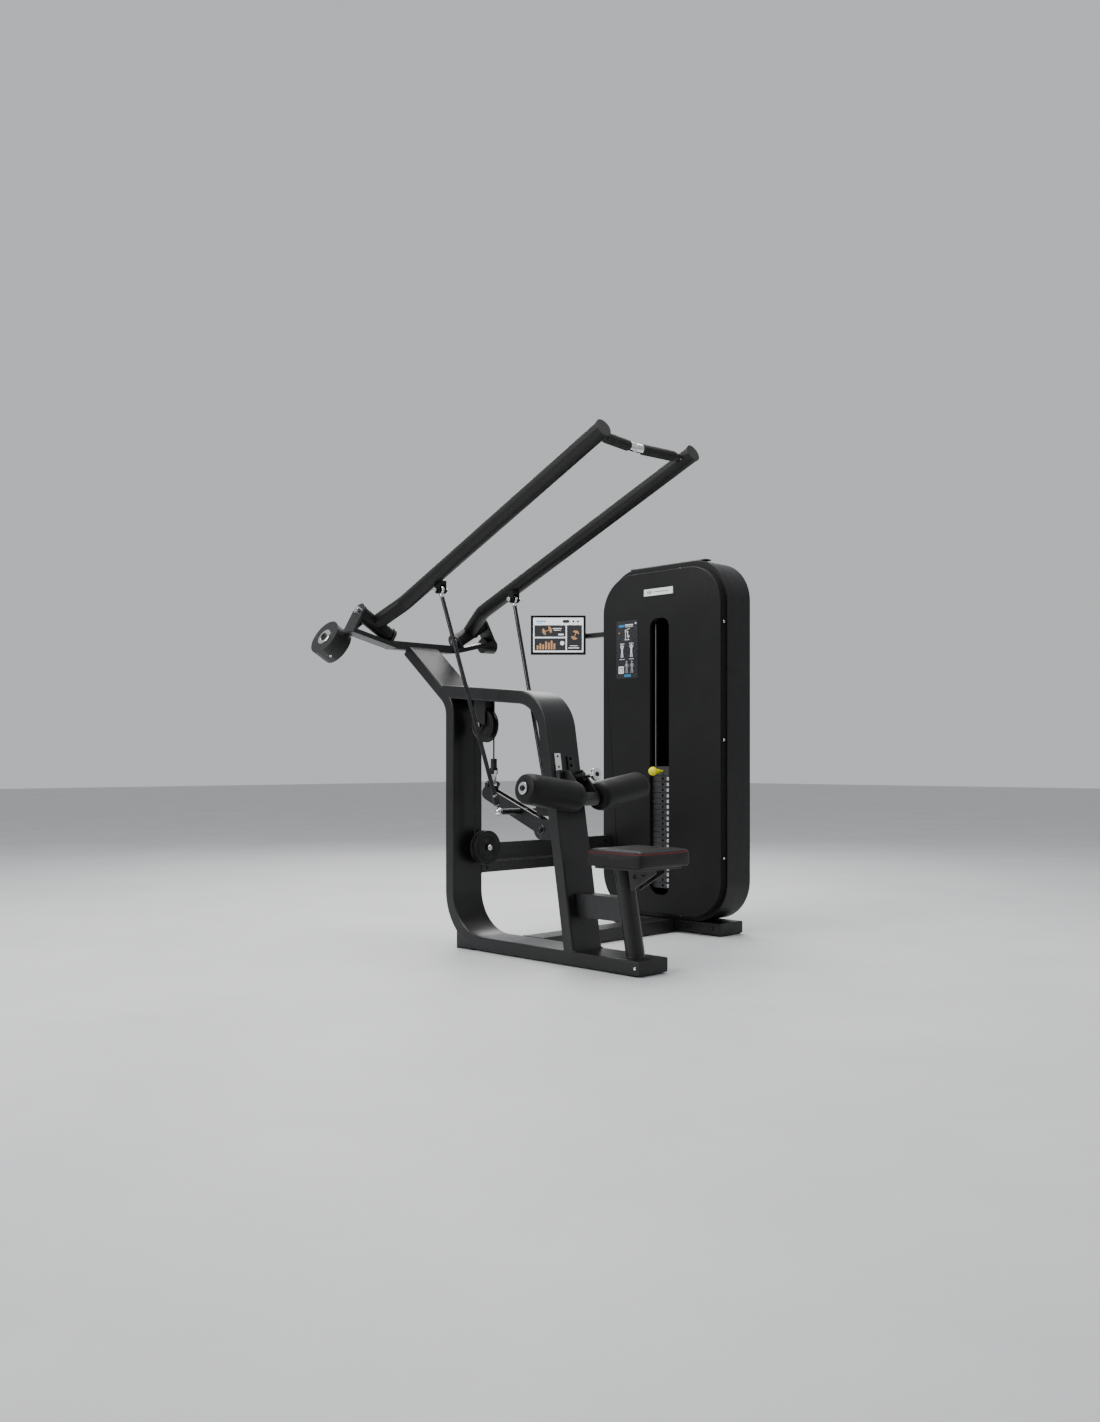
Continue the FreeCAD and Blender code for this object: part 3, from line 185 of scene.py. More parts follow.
def powder_coat(name, dark, light, rough=(0.34, 0.46), grain=900, bump=0.12, gloss=0.4):
    """Baked paint: faint orange peel, a little dust in the colour, paler edges."""
    n = Nodes(name, Metallic=0.0, Specular_IOR_Level=gloss)
    base = n.ramp(n.noise(7, 5), [(0.3, dark), (0.75, light)])
    n.colour(worn(n, base, tuple(EDGE_PALER * c for c in light)))
    n.roughness(n.grey_ramp(n.noise(26, 4), *rough))
    n.bump(n.add(n.noise(grain, 2), n.noise(60, 2), 0.5), bump, 0.0004)
    return n.material


def metal(name, colour, rough=(0.1, 0.2), stretch=None, bump=0.03):
    """Plated or bare metal; stretch scales the grain along each axis."""
    n = Nodes(name, Metallic=1.0)
    n.colour(n.ramp(n.noise(14, 4), [(0.3, tuple(0.82 * c for c in colour)), (0.7, colour)]))
    n.roughness(n.grey_ramp(n.noise(70, 4, stretch), *rough))
    n.bump(n.noise(420, 2, stretch), bump, 0.0002)
    return n.material


def moulded(name, dark, light, rough=(0.4, 0.55), grain=700, bump=0.15):
    """Moulded plastic or rubber with a fine eroded grain."""
    n = Nodes(name, Metallic=0.0, Specular_IOR_Level=0.3)
    n.colour(n.ramp(n.noise(20, 4), [(0.35, dark), (0.7, light)]))
    n.roughness(n.grey_ramp(n.noise(45, 3), *rough))
    n.bump(n.add(n.cells(grain), n.noise(grain * 1.5, 2), 0.5), bump, 0.0003)
    return n.material


def leather(name, dark, light, grain, bump, rough=(0.42, 0.58)):
    """Grained upholstery: pebbles split by creases, with a soft sheen."""
    n = Nodes(name, Metallic=0.0, Specular_IOR_Level=0.18, Sheen_Weight=0.02, Sheen_Roughness=0.5)
    pebbles = n.cells(grain, "DISTANCE_TO_EDGE")
    pores = n.noise(grain * 2.2, 3)
    n.colour(n.ramp(n.add(n.noise(9, 4), pebbles, 0.25), [(0.35, dark), (0.75, light)]))
    n.roughness(n.grey_ramp(pores, *rough))
    height = n.add(n.ramp(pebbles, [(0.0, (0, 0, 0)), (0.12, (1, 1, 1))]), pores, 0.5)
    n.bump(n.add(height, n.noise(40, 3), 0.8), bump, 0.0005)
    return n.material


def printed(name, colour, rough=0.35, glow=0.0):
    """Flat print on a label or a screen, with faint mottling and a satin film."""
    n = Nodes(name, Metallic=0.0)
    n.colour(n.ramp(n.noise(60, 3), [(0.3, tuple(0.93 * c for c in colour)), (0.7, colour)]))
    n.roughness(n.grey_ramp(n.noise(150, 2), rough * 0.9, rough * 1.1))
    if glow:
        n.shader.inputs["Emission Color"].default_value = (*colour, 1)
        n.shader.inputs["Emission Strength"].default_value = glow
    return n.material


def guide_metal():
    """The pad's guide: a bright strip on one side and a blackened latch plate on the other."""
    n = Nodes("guide_metal", Specular_IOR_Level=0.4)
    bright = n.where_y("LESS_THAN", GUIDE_SPLIT)
    plated = n.ramp(n.noise(14, 4), [(0.3, (0.66, 0.66, 0.67)), (0.7, (0.8, 0.8, 0.81))])
    n.colour(n.mixed(bright, (0.012, 0.012, 0.013), plated))
    n.link(bright, n.shader.inputs["Metallic"])
    n.roughness(n.grey_ramp(n.noise(70, 4), 0.16, 0.3))
    n.bump(n.noise(420, 2), 0.04, 0.0002)
    return n.material


def painted_shade_return(name, dark, light, front):
    """Tower paint with painted shade: past the panel's face, on the return edge, the colour goes nearly black
    and the finish duller.
    """
    n = Nodes(name, Specular_IOR_Level=0.26)
    painted_shade_mask = n.where_y("GREATER_THAN", front)
    paint = n.ramp(n.noise(7, 5), [(0.3, dark), (0.75, light)])
    # painted shade: the return edge is coloured nearly black where it lies in the panel's shadow
    n.colour(n.mixed(painted_shade_mask, worn(n, paint, tuple(EDGE_PALER * c for c in light)), (0.0012, 0.0012, 0.0012)))
    n.roughness(n.add(n.grey_ramp(n.noise(26, 4), 0.42, 0.55), painted_shade_mask, 0.45))
    n.bump(n.add(n.noise(620, 2), n.noise(60, 2), 0.5), 0.2, 0.0004)
    return n.material


BLACK, COAL = (0.006, 0.006, 0.0065), (0.011, 0.011, 0.0115)
TOWER_BLACK, TOWER_COAL = (0.005, 0.005, 0.0053), (0.008, 0.008, 0.0085)
M = {
    "frame": powder_coat("frame_paint", BLACK, COAL, rough=(0.3, 0.4)),
    "arm": powder_coat("arm_paint", (0.004, 0.004, 0.004), (0.007, 0.007, 0.007),
                       rough=(0.34, 0.44), grain=1200, bump=0.05, gloss=0.22),
    "tower": powder_coat("tower_paint", TOWER_BLACK, TOWER_COAL,
                         rough=(0.42, 0.55), grain=620, bump=0.2, gloss=0.26),
    # the front panel's return edge carries painted shade
    "panel": painted_shade_return("panel_paint_and_painted_shade", TOWER_BLACK, TOWER_COAL, PANEL_FACE_DEEP),
    "balance": powder_coat("balance_paint", (0.008, 0.008, 0.008), (0.014, 0.014, 0.014),
                           rough=(0.42, 0.52), grain=500, bump=0.2),
    "plate": powder_coat("plate_paint", (0.03, 0.03, 0.032), (0.055, 0.055, 0.058),
                         rough=(0.4, 0.55), grain=380, bump=0.25),
    "rod": metal("rod_black", (0.055, 0.055, 0.058), rough=(0.24, 0.36)),
    "chrome": metal("chrome", (0.8, 0.8, 0.81), rough=(0.07, 0.16)),
    "guide": guide_metal(),
    "steel": metal("steel", (0.5, 0.5, 0.51), rough=(0.22, 0.34), stretch=(1, 1, 12)),
    "plastic": moulded("black_plastic", (0.008, 0.008, 0.008), (0.014, 0.014, 0.014)),
    "pulley": moulded("pulley_plastic", (0.007, 0.007, 0.007), (0.012, 0.012, 0.012),
                      rough=(0.3, 0.42), grain=900, bump=0.08),
    "rubber": moulded("rubber", (0.009, 0.009, 0.009), (0.016, 0.016, 0.016),
                      rough=(0.6, 0.78), grain=520, bump=0.3),
    "grip": moulded("grip_rubber", (0.01, 0.01, 0.01), (0.017, 0.017, 0.017),
                    rough=(0.55, 0.7), grain=800, bump=0.35),
    "cable": moulded("cable_sheath", (0.006, 0.006, 0.006), (0.01, 0.01, 0.01),
                     rough=(0.2, 0.3), grain=1500, bump=0.05),
    "leather": leather("seat_leather", (0.007, 0.0065, 0.0065), (0.014, 0.013, 0.013),
                       650, 0.4, rough=(0.32, 0.44)),
    "vinyl": leather("roller_vinyl", (0.005, 0.005, 0.005), (0.009, 0.009, 0.009),
                     900, 0.22, rough=(0.36, 0.48)),
    "thread": moulded("red_thread", (0.34, 0.012, 0.018), (0.5, 0.02, 0.028),
                      rough=(0.6, 0.75), grain=2500, bump=0.3),
    "yellow": moulded("pin_yellow", (0.88, 0.8, 0.0), (0.95, 0.9, 0.01),
                      rough=(0.22, 0.32), grain=500, bump=0.05),
    "white": printed("print_white", (0.85, 0.86, 0.87)),
    "grey": printed("print_grey", (0.33, 0.34, 0.35)),
    "ink": printed("print_ink", (0.012, 0.012, 0.014)),
    "blue": printed("print_blue", (0.03, 0.2, 0.42)),
    "amber": printed("print_amber", (0.75, 0.22, 0.03)),
    "board": printed("print_board", (0.02, 0.022, 0.026), rough=0.28),
    "glass": printed("screen_black", (0.004, 0.004, 0.005), rough=0.1),
    "lit_white": printed("screen_white", (0.8, 0.84, 0.86), rough=0.15, glow=0.55),
    "lit_grey": printed("screen_grey", (0.035, 0.036, 0.04), rough=0.15, glow=0.3),
    "lit_blue": printed("screen_blue", (0.04, 0.3, 0.6), rough=0.15, glow=0.6),
    "lit_warm": printed("screen_warm", (0.5, 0.27, 0.13), rough=0.15, glow=0.5),
}

PAINTED = {
    "frame": ["base_tube", "mast_tube", "rear_foot", "cross_base", "tower_base", "link_beam", "crossbar",
              "left_yoke", "right_yoke", "right_yoke_boss", "seat_link", "seat_post", "seat_bracket",
              "lever_clevis", "pulley_mounts", "tower_frame", "monitor_arm", "lever", "pad_carriage"],
    "arm": ["left_arm", "right_arm"],
    "tower": ["tower_shell", "tower_back_panel"],
    "panel": ["tower_front_panel"],
    "balance": ["left_balance_weight"],
    "plate": ["weight_plates", "head_plate"],
    "rod": ["left_push_rod", "right_push_rod"],
    "guide": ["pad_guide"],
    "chrome": ["arm_shafts", "guide_rods", "left_handle", "right_handle", "cable_shackle",
               "pad_knob", "frame_bolts"],
    "steel": ["selector_stem"],
    "plastic": ["tube_end_caps", "left_arm_cap", "right_arm_cap", "cable_socket", "monitor"],
    "pulley": ["upper_pulley", "lower_pulley", "tower_low_pulley",
               "tower_top_pulley_a", "tower_top_pulley_b"],
    "rubber": ["foot_pads", "rubber_bumpers"],
    "grip": ["left_grip", "right_grip"],
    "cable": ["main_cable", "front_cable", "stack_cable"],
    "yellow": ["selector_pin"],
    "leather": ["seat_cushion"],
    "vinyl": ["left_roller", "right_roller"],
    "white": ["tower_labels"],
}
# widths of softened edges in millimetres
EDGE_WIDTH = {"tower_shell": 2.5, "tower_front_panel": 2.5, "tower_back_panel": 1.0, "base_tube": 2.0,
              "mast_tube": 2.0, "left_arm_cap": 4.0, "right_arm_cap": 4.0, "left_balance_weight": 2.5,
              "foot_pads": 0.6, "tube_end_caps": 1.2, "tower_labels": 0.3, "pad_guide": 0.5}
UNBEVELLED = {"main_cable", "front_cable", "stack_cable", "left_arm", "right_arm"}
USUAL_EDGE = 0.9
SHARP_ANGLE = math.radians(35)
SPLIT_ANGLE = math.radians(40)


def dress(node, material):
    """Gives a CAD node its material, welds its facets and softens its edges."""
    obj = NODES[node]
    obj.data.materials.clear()
    obj.data.materials.append(material)
    if "custom_normal" in obj.data.attributes:
        obj.data.attributes.remove(obj.data.attributes["custom_normal"])
    obj.data.shade_smooth()
    weld = obj.modifiers.new("weld", "WELD")
    weld.merge_threshold = 1e-5
    if node in UNBEVELLED:
        split = obj.modifiers.new("split", "EDGE_SPLIT")
        split.split_angle = SPLIT_ANGLE
        return
    bevel = obj.modifiers.new("edges", "BEVEL")
    bevel.width = EDGE_WIDTH.get(node, USUAL_EDGE) * MM
    bevel.segments = 2
    bevel.limit_method = "ANGLE"
    bevel.angle_limit = SHARP_ANGLE
    even = obj.modifiers.new("even", "WEIGHTED_NORMAL")
    even.mode = "FACE_AREA_WITH_ANGLE"
    even.weight = 60


for key, names in PAINTED.items():
    for name in names:
        dress(name, M[key])

# ---------------------------------------------------------------- mesh helpers


def frame_of(origin, z_dir, x_hint=X):
    """A matrix at origin with Z along z_dir and X as near x_hint as it can be."""
    z = Vector(z_dir).normalized()
    x = Vector(x_hint) - z * Vector(x_hint).dot(z)
    if x.length < 1e-4:
        x = Y - z * Y.dot(z)
    x.normalize()
    matrix = Matrix.Identity(4)
    for i, axis in enumerate((x, z.cross(x), z, Vector(origin))):
        matrix.col[i][:3] = axis
    return matrix


def piece(name, bm, body, material, smooth=True):
    """Makes a visible piece that rides on a body; with a body of None it is left unattached."""
    mesh = bpy.data.meshes.new(name)
    bmesh.ops.recalc_face_normals(bm, faces=bm.faces)
    bm.to_mesh(mesh)
    bm.free()
    obj = bpy.data.objects.new(name, mesh)
    scene.collection.objects.link(obj)
    mesh.materials.append(M[material])
    if smooth:
        mesh.shade_smooth()
        mesh.set_sharp_from_angle(angle=SHARP_ANGLE)
    if body:
        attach(obj, body)
    return obj


def in_mm(rings):
    """Rings given in millimetres, in metres; a radius that is a function is in metres already."""
    return [(radius if callable(radius) else radius * MM, height * MM) for radius, height in rings]


def add_rings(bm, matrix, rings, segments=40):
    """Rings of (radius or radius(angle), height) joined in order, closed at both ends."""
    loops = []
    for radius, height in rings:
        loop = []
        for i in range(segments):
            angle = 2 * math.pi * i / segments
            r = radius(angle) if callable(radius) else radius
            loop.append(bm.verts.new(matrix @ Vector((r * math.cos(angle), r * math.sin(angle), height))))
        loops.append(loop)
    for low, high in zip(loops, loops[1:]):
        for i in range(segments):
            j = (i + 1) % segments
            bm.faces.new((low[i], low[j], high[j], high[i]))
    bm.faces.new(list(reversed(loops[0])))
    bm.faces.new(loops[-1])


def hexagon(across):
    """Radius of a hexagon of that width across its flats, by angle."""
    def radius(angle):
        turn = (angle + math.pi / 6) % (math.pi / 3) - math.pi / 6
        return across / 2 / math.cos(turn)
    return radius


def socket_head(radius, high, key):
    """Profile of a socket screw's head with its hexagon recess."""
    return [(radius, 0), (radius, high - radius * 0.25), (radius * 0.82, high), (key * 0.7, high),
            (hexagon(key), high - 0.0004), (hexagon(key), high * 0.45)]


def bolt_set(name, body, places, radius, high, key, material="chrome"):
    """Socket screws at (position, direction)."""
    bm = bmesh.new()
    for place, direction in places:
        add_rings(bm, frame_of(place, direction), socket_head(radius, high, key), 24)
    return piece(name, bm, body, material)


def hex_nuts(name, body, places, across, high, material="chrome"):
    """Chamfered nuts, each with its bolt's end, at (position, direction)."""
    nut = hexagon(across)

    def chamfer(angle):
        return 0.94 * nut(angle)

    rings = [(chamfer, 0), (nut, 0.12 * high), (nut, 0.88 * high), (chamfer, high),
             (across * 0.3, high), (across * 0.3, high * 1.3), (across * 0.24, high * 1.4)]
    bm = bmesh.new()
    for place, direction in places:
        add_rings(bm, frame_of(place, direction), rings, 24)
    return piece(name, bm, body, material, smooth=False)


def rounded_rect(wide, high, radius, steps=6):
    """Points of a rounded rectangle about the origin, counter-clockwise."""
    points = []
    for sx, sy, start in ((1, 1, 0), (-1, 1, 90), (-1, -1, 180), (1, -1, 270)):
        for i in range(steps + 1):
            angle = math.radians(start + 90 * i / steps)
            points.append((sx * (wide / 2 - radius) + radius * math.cos(angle),
                           sy * (high / 2 - radius) + radius * math.sin(angle)))
    return points


def add_plate(bm, matrix, outline, thickness, lip):
    """A thin plate with that outline in XY, standing on matrix's origin, with a small lip."""
    count = len(outline)
    loops = []
    for inset, height in ((0, 0), (0, thickness - lip), (lip, thickness)):
        loop = []
        for x, y in outline:
            length = max(math.hypot(x, y), 1e-9)
            scale = (length - inset) / length
            loop.append(bm.verts.new(matrix @ Vector((x * scale, y * scale, height))))
        loops.append(loop)
    for low, high in zip(loops, loops[1:]):
        for i in range(count):
            j = (i + 1) % count
            bm.faces.new((low[i], low[j], high[j], high[i]))
    bm.faces.new(list(reversed(loops[0])))
    bm.faces.new(loops[-1])


def weld_bead(name, points, radius, body="frame", material="frame"):
    """A rippled weld bead along a closed path."""
    curve = bpy.data.curves.new(name, "CURVE")
    curve.dimensions = "3D"
    curve.bevel_depth = radius
    curve.bevel_resolution = 3
    spline = curve.splines.new("POLY")
    spline.points.add(len(points) - 1)
    for i, (target, point) in enumerate(zip(spline.points, points)):
        target.co = (*point, 1)
        target.radius = 1.0 + 0.12 * math.sin(2.1 * i)
    spline.use_cyclic_u = True
    obj = bpy.data.objects.new(name, curve)
    scene.collection.objects.link(obj)
    curve.materials.append(M[material])
    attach(obj, body)


WELD_STEP = 4 * MM


def path_points(corners, step=WELD_STEP):
    """Even points along a closed path of corners."""
    points = []
    for start, end in zip(corners, corners[1:] + corners[:1]):
        start, end = Vector(start), Vector(end)
        count = max(1, round((end - start).length / step))
        points += [start.lerp(end, i / count) for i in range(count)]
    return points


# ---------------------------------------------------------------- padded pieces


PUFF_FRAMES = 20
SHORTEST_STITCH = 1e-5


def evaluated_mesh(obj):
    graph = bpy.context.evaluated_depsgraph_get()
    return bpy.data.meshes.new_from_object(obj.evaluated_get(graph))


def bake_modifiers(obj):
    mesh = evaluated_mesh(obj)
    obj.modifiers.clear()
    obj.data = mesh


def puff(obj, voxel, pressure, cap, pinned):
    """Inflates a closed form as cloth, holding the points that pinned says, then smooths it."""
    remesh = obj.modifiers.new("remesh", "REMESH")
    remesh.mode = "VOXEL"
    remesh.voxel_size = voxel
    bake_modifiers(obj)
    start = [v.co.copy() for v in obj.data.vertices]
    group = obj.vertex_groups.new(name="held")
    group.add([v.index for v in obj.data.vertices if pinned(v.co)], 1.0, "REPLACE")
    cloth = obj.modifiers.new("cloth", "CLOTH")
    cloth.settings.vertex_group_mass = "held"
    cloth.settings.use_pressure = True
    cloth.settings.uniform_pressure_force = pressure
    cloth.settings.effector_weights.gravity = 0
    cloth.settings.tension_stiffness = 25
    cloth.settings.compression_stiffness = 25
    cloth.settings.bending_stiffness = 2
    cloth.point_cache.frame_start = 1
    cloth.point_cache.frame_end = PUFF_FRAMES
    for step in range(1, PUFF_FRAMES + 1):
        scene.frame_set(step)
    bake_modifiers(obj)
    scene.frame_set(1)
    for vertex, home in zip(obj.data.vertices, start):
        move = vertex.co - home
        if move.length > cap:
            vertex.co = home + move * (cap / move.length)
    smooth = obj.modifiers.new("smooth", "SMOOTH")
    smooth.iterations = 4
    smooth.factor = 0.5
    finer = obj.modifiers.new("finer", "SUBSURF")
    finer.levels = 1
    finer.render_levels = 1
    bake_modifiers(obj)
    obj.data.shade_smooth()


def surface_tree(obj):
    corners = [v.co for v in obj.data.vertices]
    return BVHTree.FromPolygons(corners, [list(p.vertices) for p in obj.data.polygons])


def stitches(name, row, body, thread, long):
    """Sewn stitches along a seam, given as a list of (point, normal)."""
    bm = bmesh.new()
    for (here, up), (there, _) in zip(row[::2], row[1::2]):
        along = there - here
        if along.length < SHORTEST_STITCH:
            continue
        matrix = frame_of(here + up * thread * 0.3, along, up)
        reach = min(long, along.length)
        rings = [(thread * 0.3, 0), (thread, reach * 0.15), (thread * 1.1, reach * 0.5),
                 (thread, reach * 0.85), (thread * 0.3, reach)]
        add_rings(bm, matrix, rings, 6)
    piece(name, bm, body, "thread")


seat_low, seat_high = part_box("seat_cushion")
SEAT_MID = (seat_low + seat_high) / 2
SEAT_WIDE = seat_high.x - seat_low.x
SEAT_DEEP = seat_high.y - seat_low.y
SEAT_CORNER = 14
# inset from the side and height above the base, in millimetres
SEAT_LAYERS = [(7, 1), (3, 3), (2.5, 20), (2.5, 46), (4, 52), (8, 56.5), (15, 58.8), (32, 59.6)]


def make_seat():
    """Seat pad: a crowned top panel on a boxed side, on a flat base."""
    bm = bmesh.new()
    base = Matrix.Translation((SEAT_MID.x, SEAT_MID.y, 0))
    loops = []
    for inset, height in SEAT_LAYERS:
        corner = (SEAT_CORNER - 0.3 * inset) * MM
        outline = rounded_rect(SEAT_WIDE - 2 * inset * MM, SEAT_DEEP - 2 * inset * MM, corner, 8)
        loops.append([bm.verts.new(base @ Vector((x, y, seat_low.z + height * MM))) for x, y in outline])
    count = len(loops[0])
    for low, high in zip(loops, loops[1:]):
        for i in range(count):
            j = (i + 1) % count
            bm.faces.new((low[i], low[j], high[j], high[i]))
    bm.faces.new(list(reversed(loops[0])))
    bm.faces.new(loops[-1])
    seat = piece("seat_pad", bm, "frame", "leather")
    puff(seat, 0.004, 2.0, 0.002, lambda co: co.z < seat_low.z + 0.004)
    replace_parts(seat, "seat_cushion")
    return seat


def press_seam(obj, high, width, depth):
    """Draws the side in along the seam between side and top, which the stitches follow."""
    for vertex in obj.data.vertices:
        away = abs(vertex.co.z - high)
        if away < width:
            inward = Vector((SEAT_MID.x - vertex.co.x, SEAT_MID.y - vertex.co.y, 0)).normalized()
            vertex.co += inward * depth * (0.5 + 0.5 * math.cos(math.pi * away / width))


seat = make_seat()
STITCH_HIGH = seat_low.z + 48.5 * MM
STITCH_STEP = 2.6 * MM
press_seam(seat, STITCH_HIGH, 0.0045, 0.0014)
tree = surface_tree(seat)
stitch_row = []
for x, y in rounded_rect(SEAT_WIDE, SEAT_DEEP, SEAT_CORNER * MM, 8):
    stitch_row.append(Vector((SEAT_MID.x + x, SEAT_MID.y + y, STITCH_HIGH)))
stitch_hits = []
for point in path_points(stitch_row, STITCH_STEP):
    inward = Vector((SEAT_MID.x, SEAT_MID.y, STITCH_HIGH)) - point
    hit = tree.ray_cast(point - inward.normalized() * 0.05, inward.normalized())
    if hit[0] is not None:
        stitch_hits.append((hit[0], hit[1]))
stitches("seat_stitching", stitch_hits, "frame", thread=0.001, long=0.0049)

ROLLER_START = [(14, 1), (38, 0), (47, 3.2), (52, 9.5), (54.5, 20)]
ROLLER_END = [(54.5, 235), (52, 245.5), (47, 251.8), (38, 255), (14, 254)]
ROLLER_MIDDLE = [(54.5, 20 + i * 215 / 20) for i in range(1, 20)]
ROLLER_LONG = 255 * MM
ROLLER_HELD = 36 * MM


def roller_line(side):
    """The inner end of a roller's axis and its direction outwards; side is -1 for the left one."""
    return Vector((-0.228, side * 0.049, 0.597)), Vector((-0.010, side * 0.253, 0.036)).normalized()


def make_roller(side, name):
    """Foam roller under stretched vinyl, crowned a little, with a hem at each end."""
    matrix = frame_of(*roller_line(side), Z)
    bm = bmesh.new()
    add_rings(bm, matrix, in_mm(ROLLER_START + ROLLER_MIDDLE + ROLLER_END), 64)
    roller = piece(f"{name}_pad", bm, name, "vinyl")
    back = matrix.inverted()

    def held(co):
        local = back @ co
        return math.hypot(local.x, local.y) < ROLLER_HELD

    puff(roller, 0.005, 4.0, 0.0022, held)
    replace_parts(roller, name)
    hems = bmesh.new()
    for height, sense in ((3.0 * MM, 1), (252.0 * MM, -1)):
        rings = [(45.7 * MM, height - 1.4 * MM * sense), (47.7 * MM, height - 0.6 * MM * sense),
                 (48.6 * MM, height + 1.0 * MM * sense), (47.2 * MM, height + 2.4 * MM * sense)]
        if sense < 0:
            rings.reverse()
        add_rings(hems, matrix, rings, 64)
    piece(f"{name}_hems", hems, name, "vinyl")


for side, name in ((-1, "left_roller"), (1, "right_roller")):
    make_roller(side, name)

LEVER_BALL_RADIUS = 15.3 * MM
BALL_TURNS = [math.radians(a) for a in range(-82, 83, 12)]


def lever_ball(side):
    """Middle of the ball on the lever that a push rod pulls."""
    return Vector((-0.550, 0.130 * side, 0.538))


washers, sockets, balls = bmesh.new(), bmesh.new(), bmesh.new()
key_hole = hexagon(8 * MM)
for side in (-1, 1):
    inner, direction = roller_line(side)
    end = frame_of(inner + direction * ROLLER_LONG, direction, Z)
    add_rings(washers, end, in_mm([(21.6, 1.2), (21.6, 5.4), (20, 6.8), (11, 6.8), (10, 5.8)]), 48)
    add_rings(sockets, end, in_mm([(8.6, 5), (8.6, 11.5), (7.4, 12.8), (4.6, 12.8), (key_hole, 12.4),
                                   (key_hole, 8)]), 24)
    add_rings(balls, frame_of(lever_ball(side), Y * side),
              [(LEVER_BALL_RADIUS * math.cos(a), LEVER_BALL_RADIUS * math.sin(a)) for a in BALL_TURNS], 32)
piece("roller_washers", washers, "pad_carriage", "chrome")
piece("roller_end_screws", sockets, "pad_carriage", "rod")
piece("lever_ball_joints", balls, "lever", "chrome")

MAST_FRONT = Vector((-0.3266, 0, 0.680))
MAST_LEAN = math.radians(9.34)
MAST_OUT = Vector((math.cos(MAST_LEAN), 0, math.sin(MAST_LEAN)))
MAST_UP = Vector((-math.sin(MAST_LEAN), 0, math.cos(MAST_LEAN)))


def mast_point(out, side, up):
    """A point on the mast's front face in millimetres: off the face, along Y, along the mast."""
    return MAST_FRONT + (MAST_OUT * out + Y * side + MAST_UP * up) * MM


def knob_frame(out):
    """The spring knob's own axis, out millimetres off the mast's face."""
    return frame_of(mast_point(out, 20, -22), MAST_OUT)


bm = bmesh.new()
add_rings(bm, knob_frame(126.6), in_mm([(9, 0), (9, 2.6), (8, 3.4), (4, 3.4), (3.4, 1.4)]), 32)
piece("knob_cap", bm, "pad_knob", "plastic")
bm = bmesh.new()
for low, high in ((113.4, 116), (124.8, 127.4)):
    wide = high - low
    add_rings(bm, knob_frame(low), in_mm([(21.8, 0), (23.6, 0.8), (23.6, wide - 0.8), (21.8, wide)]), 48)
piece("knob_rims", bm, "pad_knob", "chrome")
guide_places = [(mast_point(5.6, -45, up), MAST_OUT) for up in (62, 24, -74)]
bolt_set("guide_screws", "frame", guide_places, 4.6 * MM, 1.7 * MM, 3 * MM, "rod")

# ---------------------------------------------------------------- grips, handles and arms

HANDLE_START = Vector((0.032, -0.232, 1.795))
HANDLE_END = Vector((-0.008, -0.006, 1.800))
GRIP_RIDGES = 26


def sided(point, side):
    """A point given for the left side, on the side asked for."""
    return Vector((point.x, point.y * -side, point.z))


for side, name in ((-1, "left"), (1, "right")):
    start, end = sided(HANDLE_START, side), sided(HANDLE_END, side)
    run = (end - start).normalized()
    matrix = frame_of(start, run, Z)
    bm = bmesh.new()
    add_rings(bm, matrix, in_mm([(13.2, 31), (13.2, 50), (17, 53), (17.5, 59)]), 32)
    piece(f"{name}_handle_collar", bm, f"{name}_arm", "plastic")
    length = (end - start).length
    grip_high = length - 31 * MM
    rings = in_mm([(17.6, 60), (18.4, 61.5)])
    ridged = grip_high - 68 * MM
    pitch = ridged / GRIP_RIDGES
    for i in range(GRIP_RIDGES):
        low = 64 * MM + ridged * i / GRIP_RIDGES
        rings += [(18.5 * MM, low), (18.5 * MM, low + 0.62 * pitch), (17.8 * MM, low + 0.72 * pitch),
                  (17.8 * MM, low + 0.9 * pitch)]
    rings += [(18.4 * MM, grip_high - 2 * MM), (17.6 * MM, grip_high)]
    bm = bmesh.new()
    add_rings(bm, matrix, rings, 40)
    grip = piece(f"{name}_grip_sleeve", bm, f"{name}_arm", "grip")
    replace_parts(grip, f"{name}_grip")

# ---------------------------------------------------------------- counterweight and yokes

TILT = math.radians(30)
HUB = Vector((-1.152, -0.246, 1.267))
HUB_AXIS = Vector((0, math.cos(TILT), -math.sin(TILT)))
HUB_UP = Vector((0, math.sin(TILT), math.cos(TILT)))
BALANCE_AXIS = (-131, -118.7)
BALANCE_RADIUS = 73


def hub_point(forward, up, along, side=-1):
    """A point in a hub's own frame in millimetres; side is -1 for the left hub and 1 for the right."""
    point = HUB + (X * forward + HUB_UP * up + HUB_AXIS * along) * MM
    return sided(point, side) if side > 0 else point


def hub_dir(side):
    """A hub's shaft direction."""
    return HUB_AXIS if side < 0 else Vector((0, -HUB_AXIS.y, HUB_AXIS.z))


balance_face = frame_of(hub_point(*BALANCE_AXIS, -101.5), -HUB_AXIS)
bm = bmesh.new()
add_rings(bm, balance_face, in_mm([(33, -0.5), (33, 2), (31.5, 3), (20, 3), (19, 2.2)]), 48)
piece("balance_washer", bm, "left_arm", "chrome")
bm = bmesh.new()
add_rings(bm, balance_face, in_mm([(16, 2.4), (16, 6), (14.5, 7.5), (9, 7.5), (8, 5)]), 40)
piece("balance_plug", bm, "left_arm", "plastic")
rim_outward = X * 0.5 + HUB_UP * -0.866
rim = hub_point(*BALANCE_AXIS, -60) + rim_outward * BALANCE_RADIUS * MM
bolt_set("balance_rim_screw", "left_arm", [(rim, rim_outward)], 6 * MM, 4 * MM, 5 * MM)

